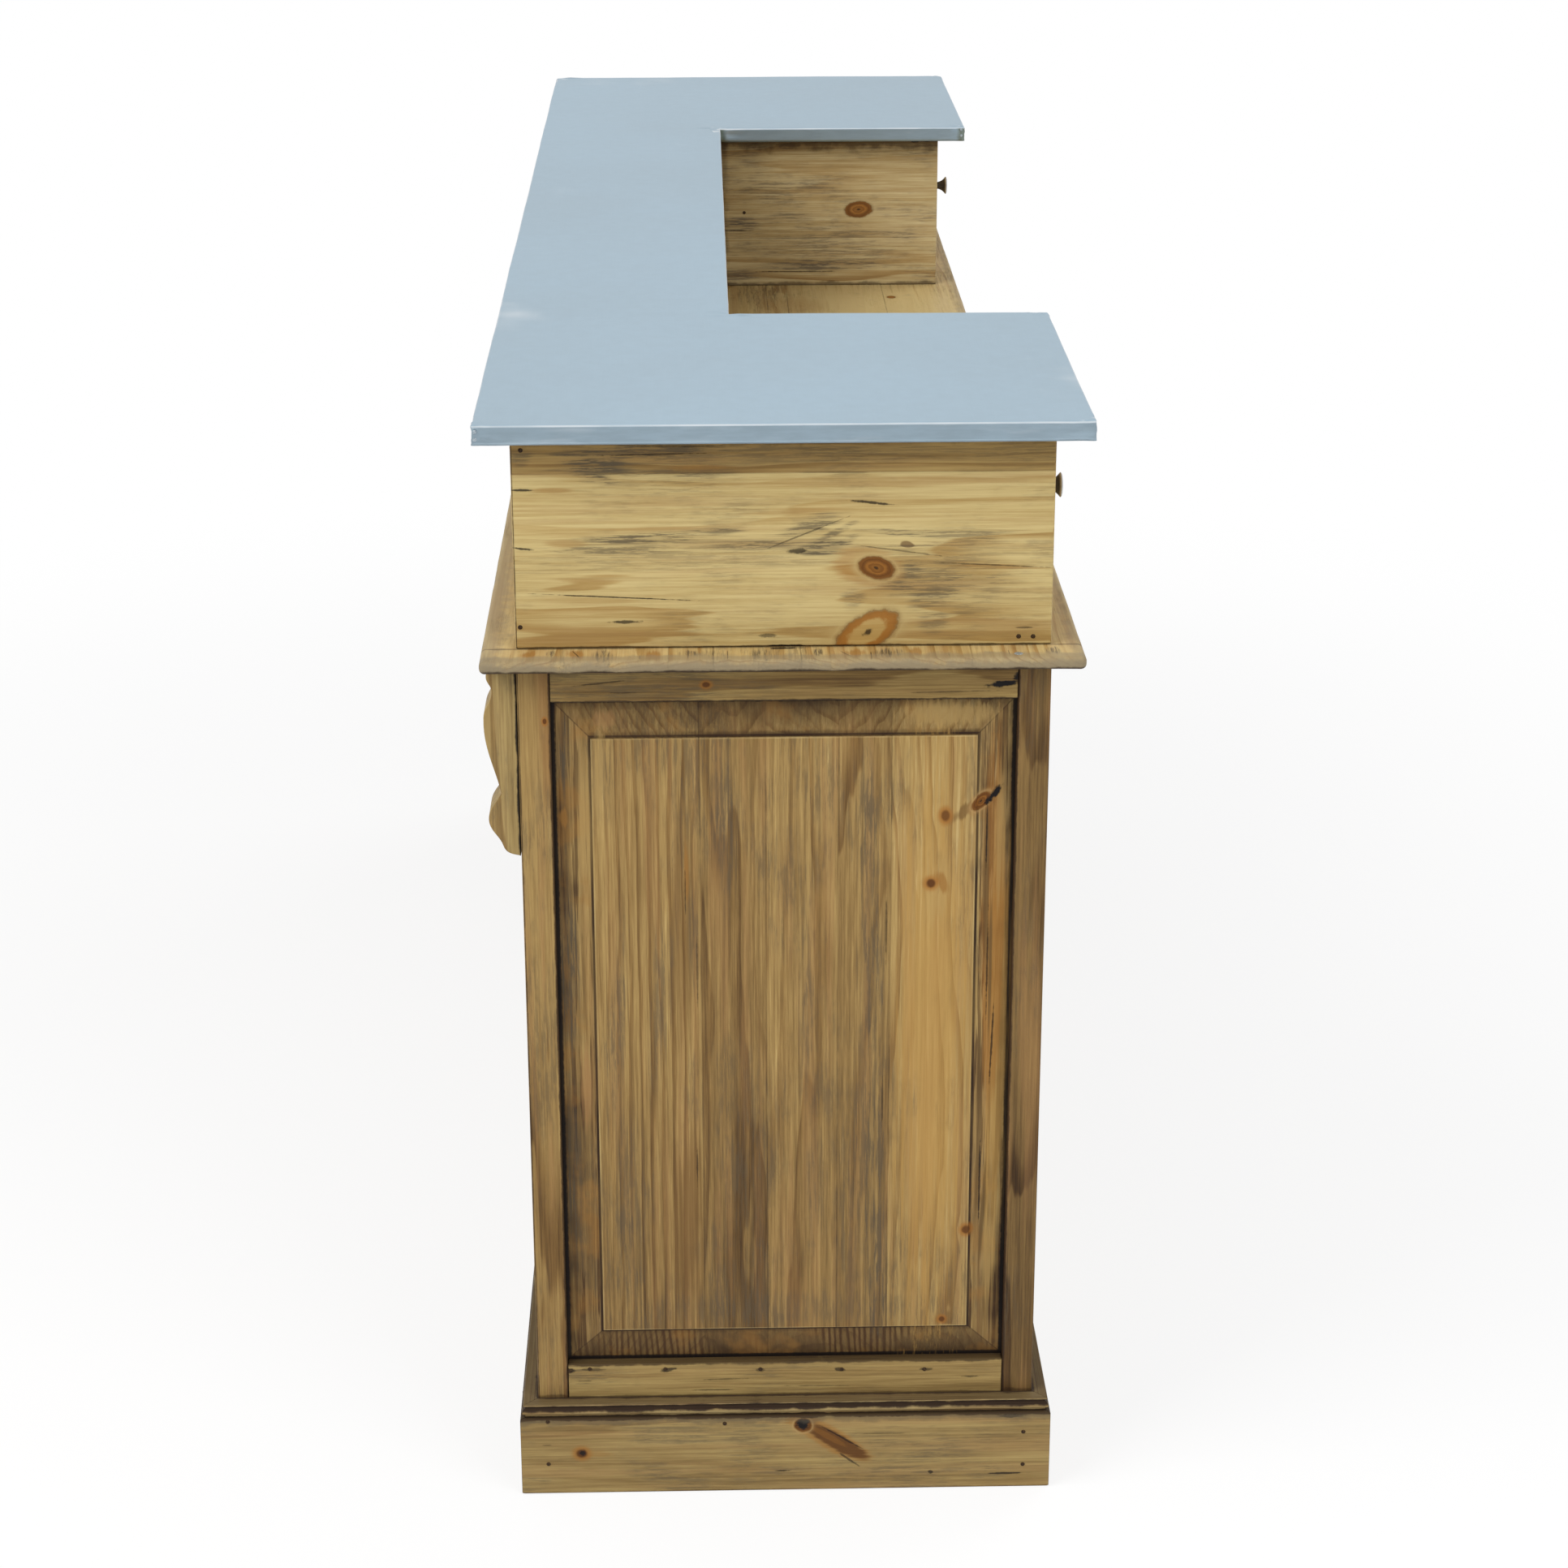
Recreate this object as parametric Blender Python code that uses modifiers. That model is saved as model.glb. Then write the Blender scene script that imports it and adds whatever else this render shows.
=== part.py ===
"""Bar counter: a panelled pine carcass, a moulded work board and a zinc bar top.

Metres, +Z up. The origin is on the floor under the middle of the counter.
+X runs along the counter, -Y is the customers' side and +Y the serving side.
"Right" is the +X end and "left" the -X end.
"""

import math

import bmesh
import bpy
from mathutils import Vector

# Overall sizes
COUNTER_LENGTH = 2.000
COUNTER_DEPTH = 0.556
COUNTER_HEIGHT = 1.100

# Zinc bar top, a U in plan: a bar along the front and a wing at each end
WING_LENGTH = 0.443
FRONT_BAR_DEPTH = 0.233
ZINC_SHEET = 0.001
ZINC_BEND = 0.0025
TOP_BOARD = 0.017

# Upper tier under the bar top
TOP_OVERHANG = 0.032
INNER_OVERHANG = 0.040
TIER_BOARD = 0.020
BEARER_HEIGHT = 0.045

# Work board between the carcass and the upper tier
WORK_HEIGHT = 0.881
WORK_BOARD = 0.0125
WORK_OVERHANG = 0.029
WORK_FRONT_OVERHANG = 0.032
WORK_NOSE = 0.005

# Carcass, set back from the edge of the bar top at its ends and along its sides
CARCASS_END_SETBACK = 0.023
CARCASS_SIDE_SETBACK = 0.032
FRAME = 0.030
POST_WIDTH = 0.065
STILE_WIDTH = 0.065
TOP_RAIL = 0.0365
BOTTOM_RAIL = 0.137
FRONT_BAYS = 3
INNER_BOARD = 0.018
SHELF_HEIGHT = 0.500
HOUSING = 0.006

# Grooves round the frames, and the raised and fielded panels held in them
GROOVE_WIDTH = 0.0076
GROOVE_DEPTH = 0.009
PANEL_PLAY = 0.001
PANEL_BEVEL = 0.036
PANEL_SLOPE = 0.0065
PANEL_STEP = 0.0025
PANEL_STEP_RUN = 0.0004

# Plinth boards and the moulding that caps them
PLINTH_HEIGHT = 0.0856
PLINTH_BOARD = 0.0175
MOULDING_HEIGHT = 0.0144
MOULDING_SETBACK = 0.0015
MOULDING_QUIRK = 0.0032
MOULDING_QUIRK_DEPTH = 0.003
MOULDING_BAND = 0.0054
MOULDING_LIP = 0.0014
MOULDING_LIP_SETBACK = 0.0014
MOULDING_COVE_DEPTH = 0.0022

# Scroll corbels under the work board. The outline runs down the corbel, and each
# point is a share of its reach and a share of its height.
CORBEL_HEIGHT = 0.188
CORBEL_REACH = 0.031
CORBEL_WIDTH = 0.045
CORBEL_TOP_SHARE = 0.80
CORBEL_CAP_SHARES = (0.89, 0.065)
CORBEL_NECK_SHARES = (0.74, 0.132)
CORBEL_BELLY_SHARES = (1.0, 0.27)
CORBEL_WAIST_SHARES = (0.54, 0.667)
CORBEL_SCROLL_SHARES = (0.94, 0.805)
CORBEL_HEEL_SHARES = (0.58, 0.925)
CORBEL_TAIL_SHARES = (0.42, 0.975)

# Drawers in the wings
DRAWER_GAP = 0.0015
DRAWER_RUN = 0.0005
DRAWER_SIDE = 0.012
DRAWER_HEADROOM = 0.0549
DRAWER_BOTTOM = 0.006
DRAWER_BOTTOM_RISE = 0.010
DRAWER_GROOVE = 0.005

# Trumpet knobs
KNOB_HEAD = 0.012
KNOB_NECK = 0.0038
KNOB_REACH = 0.026
KNOB_RIM = 0.0025
KNOB_FACE = 0.0098
KNOB_FOOT = 0.0057
KNOB_FOOT_HEIGHT = 0.002
KNOB_FOOT_ROUND = 0.001
KNOB_SPIGOT = 0.003
KNOB_SPIGOT_LENGTH = 0.010

# Clearances and softened edges
FIT = 0.0003
EDGE = 0.0015
SMALL_EDGE = 0.0008
CUT_PAST = 0.004
WELD = 0.00001

# How finely curves are faceted, and how nearly square a face must stand to count
EDGE_STEPS = 2
NOSE_STEPS = 4
FOLD_STEPS = 3
COVE_STEPS = 5
CORBEL_STEPS = 5
KNOB_STEPS = 20
FLARE_STEPS = 6
SQUARE = 0.01

# Positions worked out from the sizes above
HALF_LENGTH = COUNTER_LENGTH / 2
HALF_DEPTH = COUNTER_DEPTH / 2
CARCASS_X = HALF_LENGTH - CARCASS_END_SETBACK
CARCASS_Y = HALF_DEPTH - CARCASS_SIDE_SETBACK
TIER_X = HALF_LENGTH - TOP_OVERHANG
TIER_Y = HALF_DEPTH - TOP_OVERHANG
WORK_UNDER = WORK_HEIGHT - WORK_BOARD
FRAME_TOP = WORK_UNDER - FIT
TOP_RAIL_UNDER = FRAME_TOP - TOP_RAIL
TOP_BOARD_TOP = COUNTER_HEIGHT - ZINC_SHEET - FIT
TOP_BOARD_UNDER = TOP_BOARD_TOP - TOP_BOARD
TIER_TOP = TOP_BOARD_UNDER - FIT
TIER_FOOT = WORK_HEIGHT + FIT
WING_INNER_X = HALF_LENGTH - WING_LENGTH
BAR_INNER_Y = -HALF_DEPTH + FRONT_BAR_DEPTH
WALL_X = WING_INNER_X + INNER_OVERHANG
POST_X = CARCASS_X - POST_WIDTH
INNER_X = CARCASS_X - FRAME
INNER_Y = CARCASS_Y - FRAME
TONGUE = GROOVE_WIDTH - 2 * FIT
TONGUE_LENGTH = GROOVE_DEPTH - FIT

parts = None
cutters = None


def clear_scene():
    for obj in list(bpy.data.objects):
        bpy.data.objects.remove(obj, do_unlink=True)


def new_collection(name):
    collection = bpy.data.collections.new(name)
    bpy.context.scene.collection.children.link(collection)
    return collection


def new_material(name, colour, roughness, metallic=0.0):
    material = bpy.data.materials.new(name)
    material.use_nodes = True
    shader = material.node_tree.nodes["Principled BSDF"]
    shader.inputs["Base Color"].default_value = (*colour, 1.0)
    shader.inputs["Roughness"].default_value = roughness
    shader.inputs["Metallic"].default_value = metallic
    material.diffuse_color = (*colour, 1.0)
    return material


def add_object(name, bm, material, location=(0, 0, 0), parent=None):
    mesh = bpy.data.meshes.new(name)
    bm.to_mesh(mesh)
    bm.free()
    if material:
        mesh.materials.append(material)
    obj = bpy.data.objects.new(name, mesh)
    parts.objects.link(obj)
    obj.location = location
    obj.parent = parent
    return obj


def box_mesh(size, edge=0.0, segments=1):
    bm = bmesh.new()
    bmesh.ops.create_cube(bm, size=1.0)
    bmesh.ops.scale(bm, vec=size, verts=bm.verts)
    if edge:
        bmesh.ops.bevel(
            bm,
            geom=list(bm.edges),
            offset=edge,
            affect="EDGES",
            segments=segments,
            profile=0.5,
            material=-1,
        )
    return bm


def board(name, x, y, z, material, edge=EDGE, segments=EDGE_STEPS, parent=None):
    """A board that fills the given spans in X, Y and Z."""
    spans = [sorted(span) for span in (x, y, z)]
    size = [high - low for low, high in spans]
    centre = Vector([(low + high) / 2 for low, high in spans])
    bm = box_mesh(size, edge, segments)
    return add_object(name, bm, material, centre, parent)


def cut(target, x, y, z):
    """Cut a box with the given spans out of a piece."""
    spans = [sorted(span) for span in (x, y, z)]
    size = [high - low for low, high in spans]
    name = f"{target.name}_cut_{len(target.modifiers)}"
    mesh = bpy.data.meshes.new(name)
    bm = box_mesh(size)
    bm.to_mesh(mesh)
    bm.free()
    cutter = bpy.data.objects.new(name, mesh)
    cutters.objects.link(cutter)
    cutter.location = [(low + high) / 2 for low, high in spans]
    subtract(target, cutter)


def subtract(target, cutter):
    cutter.display_type = "WIRE"
    cutter.hide_render = True
    modifier = target.modifiers.new(cutter.name, "BOOLEAN")
    modifier.operation = "DIFFERENCE"
    modifier.solver = "EXACT"
    modifier.object = cutter


def tongued_board(name, x, y, z, run, across, tongue_at, material):
    """A rail or stile with a stub tongue at each end.

    run and across are axis numbers: the way the board runs, and the way its
    thickness lies. tongue_at is where the middle of the tongue sits on it.
    """
    spans = [sorted(span) for span in (x, y, z)]
    size = [high - low for low, high in spans]
    centre = Vector([(low + high) / 2 for low, high in spans])
    bm = box_mesh(size, EDGE, EDGE_STEPS)
    normal = Vector((0, 0, 0))
    normal[across] = 1
    middle = tongue_at - centre[across]
    for offset in (middle - TONGUE / 2, middle + TONGUE / 2):
        bmesh.ops.bisect_plane(
            bm,
            geom=list(bm.verts) + list(bm.edges) + list(bm.faces),
            plane_co=normal * offset,
            plane_no=normal,
        )
    for side in (-1, 1):
        end = [
            face
            for face in bm.faces
            if abs(face.normal[run] - side) < SQUARE
            and abs(face.calc_center_median()[across] - middle) < TONGUE / 4
        ]
        extruded = bmesh.ops.extrude_face_region(bm, geom=end)
        move = Vector((0, 0, 0))
        move[run] = side * TONGUE_LENGTH
        verts = [item for item in extruded["geom"] if isinstance(item, bmesh.types.BMVert)]
        bmesh.ops.translate(bm, vec=move, verts=verts)
        bmesh.ops.delete(bm, geom=end, context="FACES")
    return add_object(name, bm, material, centre)


def fielded_panel(name, width, height, centre, face, material):
    """A raised and fielded panel, modelled flat and then stood up.

    width and height are the clear opening. face is the way its front looks:
    "x+", "x-" or "y-". The tongue round its edge sits in the frame's groove.
    """
    lap = GROOVE_DEPTH - PANEL_PLAY
    bm = box_mesh((width + 2 * lap, height + 2 * lap, TONGUE))
    front = [face for face in bm.faces if abs(face.normal.z - 1) < SQUARE]
    for margin, rise in ((lap, 0), (PANEL_BEVEL, PANEL_SLOPE), (PANEL_STEP_RUN, PANEL_STEP)):
        bmesh.ops.inset_region(
            bm, faces=front, thickness=margin, depth=rise, use_even_offset=True
        )
    panel = add_object(name, bm, material, centre)
    turn = {"x+": 90, "x-": -90, "y-": 0}[face]
    panel.rotation_euler = (math.radians(90), 0, math.radians(turn))
    return panel


def mitred_run(name, profile, half_length, wall, face, height, material):
    """Run a profile along one side of the carcass, mitred at both ends.

    profile lists (out, up) points from the wall. half_length is half the
    wall's length, wall its distance from the middle of the counter.
    """
    bm = bmesh.new()
    verts = [bm.verts.new((0, -out, up)) for out, up in profile]
    first = bm.faces.new(verts)
    extruded = bmesh.ops.extrude_face_region(bm, geom=[first])
    far = {v for v in extruded["geom"] if isinstance(v, bmesh.types.BMVert)}
    for vert in bm.verts:
        side = 1 if vert in far else -1
        vert.co.x = side * (half_length - vert.co.y - FIT)
    bmesh.ops.recalc_face_normals(bm, faces=bm.faces)
    obj = add_object(name, bm, material)
    turn = {"y-": 0, "x+": 90, "y+": 180, "x-": 270}[face]
    obj.rotation_euler = (0, 0, math.radians(turn))
    direction = {"y-": (0, -1), "x+": (1, 0), "y+": (0, 1), "x-": (-1, 0)}[face]
    obj.location = (direction[0] * wall, direction[1] * wall, height)
    return obj


def arc(centre, radius, start, end, steps):
    """Points on an arc, angles in degrees."""
    points = []
    for step in range(steps + 1):
        angle = math.radians(start + (end - start) * step / steps)
        points.append((centre[0] + radius * math.cos(angle), centre[1] + radius * math.sin(angle)))
    return points


def moulding_profile():
    """Quirk, rounded band, hollow cove and flat lip, from the bottom up."""
    out = PLINTH_BOARD - MOULDING_SETBACK
    lip_out = out - MOULDING_LIP_SETBACK
    radius = MOULDING_BAND / 2
    cove_foot = MOULDING_QUIRK + MOULDING_BAND
    cove_rise = MOULDING_HEIGHT - MOULDING_LIP - cove_foot
    quirk_out = out - MOULDING_QUIRK_DEPTH
    points = [(FIT, 0), (quirk_out, 0), (quirk_out, MOULDING_QUIRK)]
    points += arc((out - radius, MOULDING_QUIRK + radius), radius, -75, 75, NOSE_STEPS)
    for step in range(COVE_STEPS + 1):
        share = step / COVE_STEPS
        hollow = MOULDING_COVE_DEPTH * math.sin(math.pi * share)
        points.append((lip_out - hollow, cove_foot + cove_rise * share))
    soft = MOULDING_LIP / 3
    points += [(lip_out, MOULDING_HEIGHT - soft), (lip_out - soft, MOULDING_HEIGHT)]
    points += [(FIT, MOULDING_HEIGHT)]
    return points


def plinth_profile():
    """A plain board with its outer arrises softened."""
    outer = PLINTH_BOARD + FIT
    top = PLINTH_HEIGHT - FIT
    points = [(FIT, 0), (outer - EDGE, 0), (outer, EDGE)]
    points += arc((outer - EDGE, top - EDGE), EDGE, 0, 90, EDGE_STEPS)
    points += [(FIT, top)]
    return points


def make_base(pine):
    sides = (
        ("front", "y-", CARCASS_X, CARCASS_Y),
        ("right_end", "x+", CARCASS_Y, CARCASS_X),
        ("back", "y+", CARCASS_X, CARCASS_Y),
        ("left_end", "x-", CARCASS_Y, CARCASS_X),
    )
    for label, face, half_length, wall in sides:
        mitred_run(f"plinth_{label}", plinth_profile(), half_length, wall, face, 0, pine)
        mitred_run(
            f"base_moulding_{label}",
            moulding_profile(),
            half_length,
            wall,
            face,
            PLINTH_HEIGHT,
            pine,
        )


def make_posts(pine):
    end_groove_x = CARCASS_X - FRAME / 2
    for end, side in (("right", 1), ("left", -1)):
        for row, face in (("front", -1), ("back", 1)):
            post = board(
                f"post_{row}_{end}",
                (side * POST_X, side * CARCASS_X),
                (face * INNER_Y, face * CARCASS_Y),
                (0, FRAME_TOP),
                pine,
            )
            groove_x = (
                side * (end_groove_x - GROOVE_WIDTH / 2),
                side * (end_groove_x + GROOVE_WIDTH / 2),
            )
            groove_y = (face * (INNER_Y - CUT_PAST), face * (INNER_Y + GROOVE_DEPTH))
            cut(post, groove_x, groove_y, (-CUT_PAST, FRAME_TOP + CUT_PAST))
            frame_x = (side * (POST_X - CUT_PAST), side * (POST_X + GROOVE_DEPTH))
            middle = face * (CARCASS_Y - FRAME / 2)
            frame_y = (middle - GROOVE_WIDTH / 2, middle + GROOVE_WIDTH / 2)
            if row == "front":
                cut(post, frame_x, frame_y, (-CUT_PAST, FRAME_TOP + CUT_PAST))
            else:
                cut(post, frame_x, frame_y, (-CUT_PAST, BOTTOM_RAIL + FIT))
                cut(post, frame_x, frame_y, (TOP_RAIL_UNDER - FIT, FRAME_TOP + CUT_PAST))
            house_shelf(post, (side * (POST_X - CUT_PAST), side * INNER_X), face)


def house_shelf(piece, x, face):
    """Cut the housing that a shelf's long edge slides into."""
    cut(
        piece,
        x,
        (face * (INNER_Y - CUT_PAST), face * (INNER_Y + HOUSING)),
        (SHELF_HEIGHT, SHELF_HEIGHT + INNER_BOARD + 2 * FIT),
    )


def make_end_frames(pine, panel_pine):
    groove_x = CARCASS_X - FRAME / 2
    shoulder = INNER_Y - FIT
    long_cut = (-CARCASS_Y, CARCASS_Y)
    for end, side in (("right", 1), ("left", -1)):
        x = (side * INNER_X, side * CARCASS_X)
        y = (-shoulder, shoulder)
        at = side * groove_x
        groove = (at - GROOVE_WIDTH / 2, at + GROOVE_WIDTH / 2)
        top = tongued_board(
            f"end_top_rail_{end}", x, y, (TOP_RAIL_UNDER, FRAME_TOP), 1, 0, at, pine
        )
        cut(top, groove, long_cut, (TOP_RAIL_UNDER - CUT_PAST, TOP_RAIL_UNDER + GROOVE_DEPTH))
        low = tongued_board(f"end_bottom_rail_{end}", x, y, (0, BOTTOM_RAIL), 1, 0, at, pine)
        cut(low, groove, long_cut, (BOTTOM_RAIL - GROOVE_DEPTH, BOTTOM_RAIL + CUT_PAST))
        fielded_panel(
            f"end_panel_{end}",
            2 * INNER_Y,
            TOP_RAIL_UNDER - BOTTOM_RAIL,
            (at, 0, (TOP_RAIL_UNDER + BOTTOM_RAIL) / 2),
            "x+" if side > 0 else "x-",
            panel_pine,
        )


def front_bay_width():
    return (2 * POST_X - (FRONT_BAYS - 1) * STILE_WIDTH) / FRONT_BAYS


def front_stile_centres():
    step = front_bay_width() + STILE_WIDTH
    return [-POST_X + step * (bay + 1) - STILE_WIDTH / 2 for bay in range(FRONT_BAYS - 1)]


def make_front_frame(pine, panel_pine):
    y = (-CARCASS_Y, -INNER_Y)
    middle = -(CARCASS_Y - FRAME / 2)
    groove = (middle - GROOVE_WIDTH / 2, middle + GROOVE_WIDTH / 2)
    shoulder = POST_X - FIT
    x = (-shoulder, shoulder)
    long_cut = (-CARCASS_X, CARCASS_X)
    top = tongued_board("front_top_rail", x, y, (TOP_RAIL_UNDER, FRAME_TOP), 0, 1, middle, pine)
    cut(top, long_cut, groove, (TOP_RAIL_UNDER - CUT_PAST, TOP_RAIL_UNDER + GROOVE_DEPTH))
    low = tongued_board("front_bottom_rail", x, y, (0, BOTTOM_RAIL), 0, 1, middle, pine)
    cut(low, long_cut, groove, (BOTTOM_RAIL - GROOVE_DEPTH, BOTTOM_RAIL + CUT_PAST))
    stile_z = (BOTTOM_RAIL + FIT, TOP_RAIL_UNDER - FIT)
    tall_cut = (0, FRAME_TOP)
    for number, centre in enumerate(front_stile_centres(), 1):
        left = centre - STILE_WIDTH / 2
        right = centre + STILE_WIDTH / 2
        stile = tongued_board(
            f"front_stile_{number}", (left, right), y, stile_z, 2, 1, middle, pine
        )
        cut(stile, (left - CUT_PAST, left + GROOVE_DEPTH), groove, tall_cut)
        cut(stile, (right - GROOVE_DEPTH, right + CUT_PAST), groove, tall_cut)
        house_shelf(stile, (left - CUT_PAST, right + CUT_PAST), -1)
    width = front_bay_width()
    for bay in range(FRONT_BAYS):
        centre = -POST_X + width / 2 + bay * (width + STILE_WIDTH)
        fielded_panel(
            f"front_panel_{bay + 1}",
            width,
            TOP_RAIL_UNDER - BOTTOM_RAIL,
            (centre, middle, (TOP_RAIL_UNDER + BOTTOM_RAIL) / 2),
            "y-",
            panel_pine,
        )


def make_back_frame(pine):
    y = (INNER_Y, CARCASS_Y)
    middle = CARCASS_Y - FRAME / 2
    groove = (middle - GROOVE_WIDTH / 2, middle + GROOVE_WIDTH / 2)
    shoulder = POST_X - FIT
    x = (-shoulder, shoulder)
    half = STILE_WIDTH / 2
    mortise_x = (-half - FIT, half + FIT)
    top = tongued_board("back_top_rail", x, y, (TOP_RAIL_UNDER, FRAME_TOP), 0, 1, middle, pine)
    cut(top, mortise_x, groove, (TOP_RAIL_UNDER - CUT_PAST, TOP_RAIL_UNDER + GROOVE_DEPTH))
    low = tongued_board("back_bottom_rail", x, y, (0, BOTTOM_RAIL), 0, 1, middle, pine)
    cut(low, mortise_x, groove, (BOTTOM_RAIL - GROOVE_DEPTH, BOTTOM_RAIL + CUT_PAST))
    stile_z = (BOTTOM_RAIL + FIT, TOP_RAIL_UNDER - FIT)
    stile = tongued_board("back_stile", (-half, half), y, stile_z, 2, 1, middle, pine)
    house_shelf(stile, (-half - CUT_PAST, half + CUT_PAST), 1)


def make_inside(pine):
    x = INNER_X - FIT
    y = INNER_Y - FIT
    floor_z = (BOTTOM_RAIL - INNER_BOARD, BOTTOM_RAIL)
    board("bottom_board", (-x, x), (-y, y), floor_z, pine, SMALL_EDGE, 1)
    half = INNER_BOARD / 2
    divider_z = (BOTTOM_RAIL + FIT, FRAME_TOP)
    board("divider", (-half, half), (-y, y), divider_z, pine, SMALL_EDGE, 1)
    shelf_y = INNER_Y + HOUSING - FIT
    shelf_z = (SHELF_HEIGHT + FIT, SHELF_HEIGHT + FIT + INNER_BOARD)
    for end, side in (("right", 1), ("left", -1)):
        shelf_x = (side * (half + FIT), side * x)
        board(f"shelf_{end}", shelf_x, (-shelf_y, shelf_y), shelf_z, pine, SMALL_EDGE, 1)


def make_work_board(pine):
    """One board with a rounded nose all round, reaching further over the customers' side."""
    length = 2 * (CARCASS_X + WORK_OVERHANG)
    depth = WORK_FRONT_OVERHANG + 2 * CARCASS_Y + WORK_OVERHANG
    middle = (WORK_OVERHANG - WORK_FRONT_OVERHANG) / 2
    bm = box_mesh((length, depth, WORK_BOARD))
    upright = [e for e in bm.edges if abs(e.verts[0].co.z - e.verts[1].co.z) > WORK_BOARD / 2]
    bmesh.ops.bevel(
        bm,
        geom=upright,
        offset=WORK_NOSE,
        affect="EDGES",
        segments=NOSE_STEPS,
        profile=0.5,
        material=-1,
    )
    rims = [e for e in bm.edges if abs(e.verts[0].co.z - e.verts[1].co.z) < FIT]
    bmesh.ops.bevel(
        bm,
        geom=rims,
        offset=WORK_NOSE,
        affect="EDGES",
        segments=NOSE_STEPS,
        profile=0.5,
        material=-1,
        clamp_overlap=True,
    )
    add_object("work_board", bm, pine, (0, middle, WORK_HEIGHT - WORK_BOARD / 2))


def corbel_outline():
    """Points (reach, drop, sharp) round a corbel, from its top corner at the carcass."""
    points = [(FIT, FIT, True), (CORBEL_TOP_SHARE * CORBEL_REACH, FIT, True)]
    shape = (
        (CORBEL_CAP_SHARES, False),
        (CORBEL_NECK_SHARES, False),
        (CORBEL_BELLY_SHARES, False),
        (CORBEL_WAIST_SHARES, True),
        (CORBEL_SCROLL_SHARES, False),
        (CORBEL_HEEL_SHARES, True),
        (CORBEL_TAIL_SHARES, False),
    )
    for (reach, drop), sharp in shape:
        points.append((reach * CORBEL_REACH, drop * CORBEL_HEIGHT, sharp))
    points.append((FIT, CORBEL_HEIGHT, True))
    return points


def make_corbels(pine):
    """Scroll corbels, sawn from the flat, standing on the posts and the front stiles."""
    flush = CARCASS_X - CORBEL_WIDTH / 2 - SMALL_EDGE
    places = [-flush, *front_stile_centres(), flush]
    outline = corbel_outline()
    for number, x in enumerate(places, 1):
        curve = bpy.data.curves.new(f"corbel_{number}", "CURVE")
        curve.dimensions = "2D"
        curve.fill_mode = "BOTH"
        curve.extrude = CORBEL_WIDTH / 2
        curve.resolution_u = CORBEL_STEPS
        spline = curve.splines.new("BEZIER")
        spline.use_cyclic_u = True
        spline.bezier_points.add(len(outline) - 1)
        for bezier, (reach, drop, sharp) in zip(spline.bezier_points, outline):
            bezier.co = (reach, -drop, 0)
            bezier.handle_left_type = "VECTOR" if sharp else "AUTO"
            bezier.handle_right_type = "VECTOR" if sharp else "AUTO"
        obj = bpy.data.objects.new(f"corbel_{number}_curve", curve)
        parts.objects.link(obj)
        obj.rotation_euler = (math.radians(90), 0, math.radians(-90))
        obj.location = (x, -CARCASS_Y, WORK_UNDER)
        curve_to_mesh(obj, f"corbel_{number}", pine)


def curve_to_mesh(obj, name, material):
    """Replace a curve object by a welded mesh in the same place."""
    bpy.context.view_layer.update()
    graph = bpy.context.evaluated_depsgraph_get()
    mesh = bpy.data.meshes.new_from_object(obj.evaluated_get(graph))
    bm = bmesh.new()
    bm.from_mesh(mesh)
    bmesh.ops.remove_doubles(bm, verts=bm.verts, dist=WELD)
    bmesh.ops.recalc_face_normals(bm, faces=bm.faces)
    bm.to_mesh(mesh)
    bm.free()
    mesh.materials.clear()
    mesh.materials.append(material)
    solid = bpy.data.objects.new(name, mesh)
    parts.objects.link(solid)
    solid.matrix_world = obj.matrix_world
    bpy.data.objects.remove(obj, do_unlink=True)
    return solid


def make_upper_tier(pine):
    z = (TIER_FOOT, TIER_TOP)
    inside_y = -TIER_Y + TIER_BOARD + FIT
    front_x = TIER_X - TIER_BOARD - FIT
    board("tier_front_board", (-front_x, front_x), (-TIER_Y, -TIER_Y + TIER_BOARD), z, pine)
    for end, side in (("right", 1), ("left", -1)):
        board(
            f"tier_end_board_{end}",
            (side * (TIER_X - TIER_BOARD), side * TIER_X),
            (-TIER_Y, TIER_Y),
            z,
            pine,
        )
        board(
            f"tier_wall_{end}",
            (side * WALL_X, side * (WALL_X + TIER_BOARD)),
            (inside_y, TIER_Y),
            z,
            pine,
        )
    bearer_y = BAR_INNER_Y - INNER_OVERHANG
    bearer_x = WALL_X - FIT
    board(
        "bar_bearer",
        (-bearer_x, bearer_x),
        (bearer_y - TIER_BOARD, bearer_y),
        (TIER_TOP - BEARER_HEIGHT, TIER_TOP),
        pine,
    )


def make_top(pine, zinc):
    skin = ZINC_SHEET + FIT
    z = (TOP_BOARD_UNDER, TOP_BOARD_TOP)
    bar_back = BAR_INNER_Y - skin
    bar_x = HALF_LENGTH - skin
    board("bar_top_board", (-bar_x, bar_x), (-HALF_DEPTH + skin, bar_back), z, pine)
    for end, side in (("right", 1), ("left", -1)):
        board(
            f"wing_top_board_{end}",
            (side * (WING_INNER_X + skin), side * bar_x),
            (bar_back + FIT, HALF_DEPTH - skin),
            z,
            pine,
        )
    make_zinc(zinc)


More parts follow.
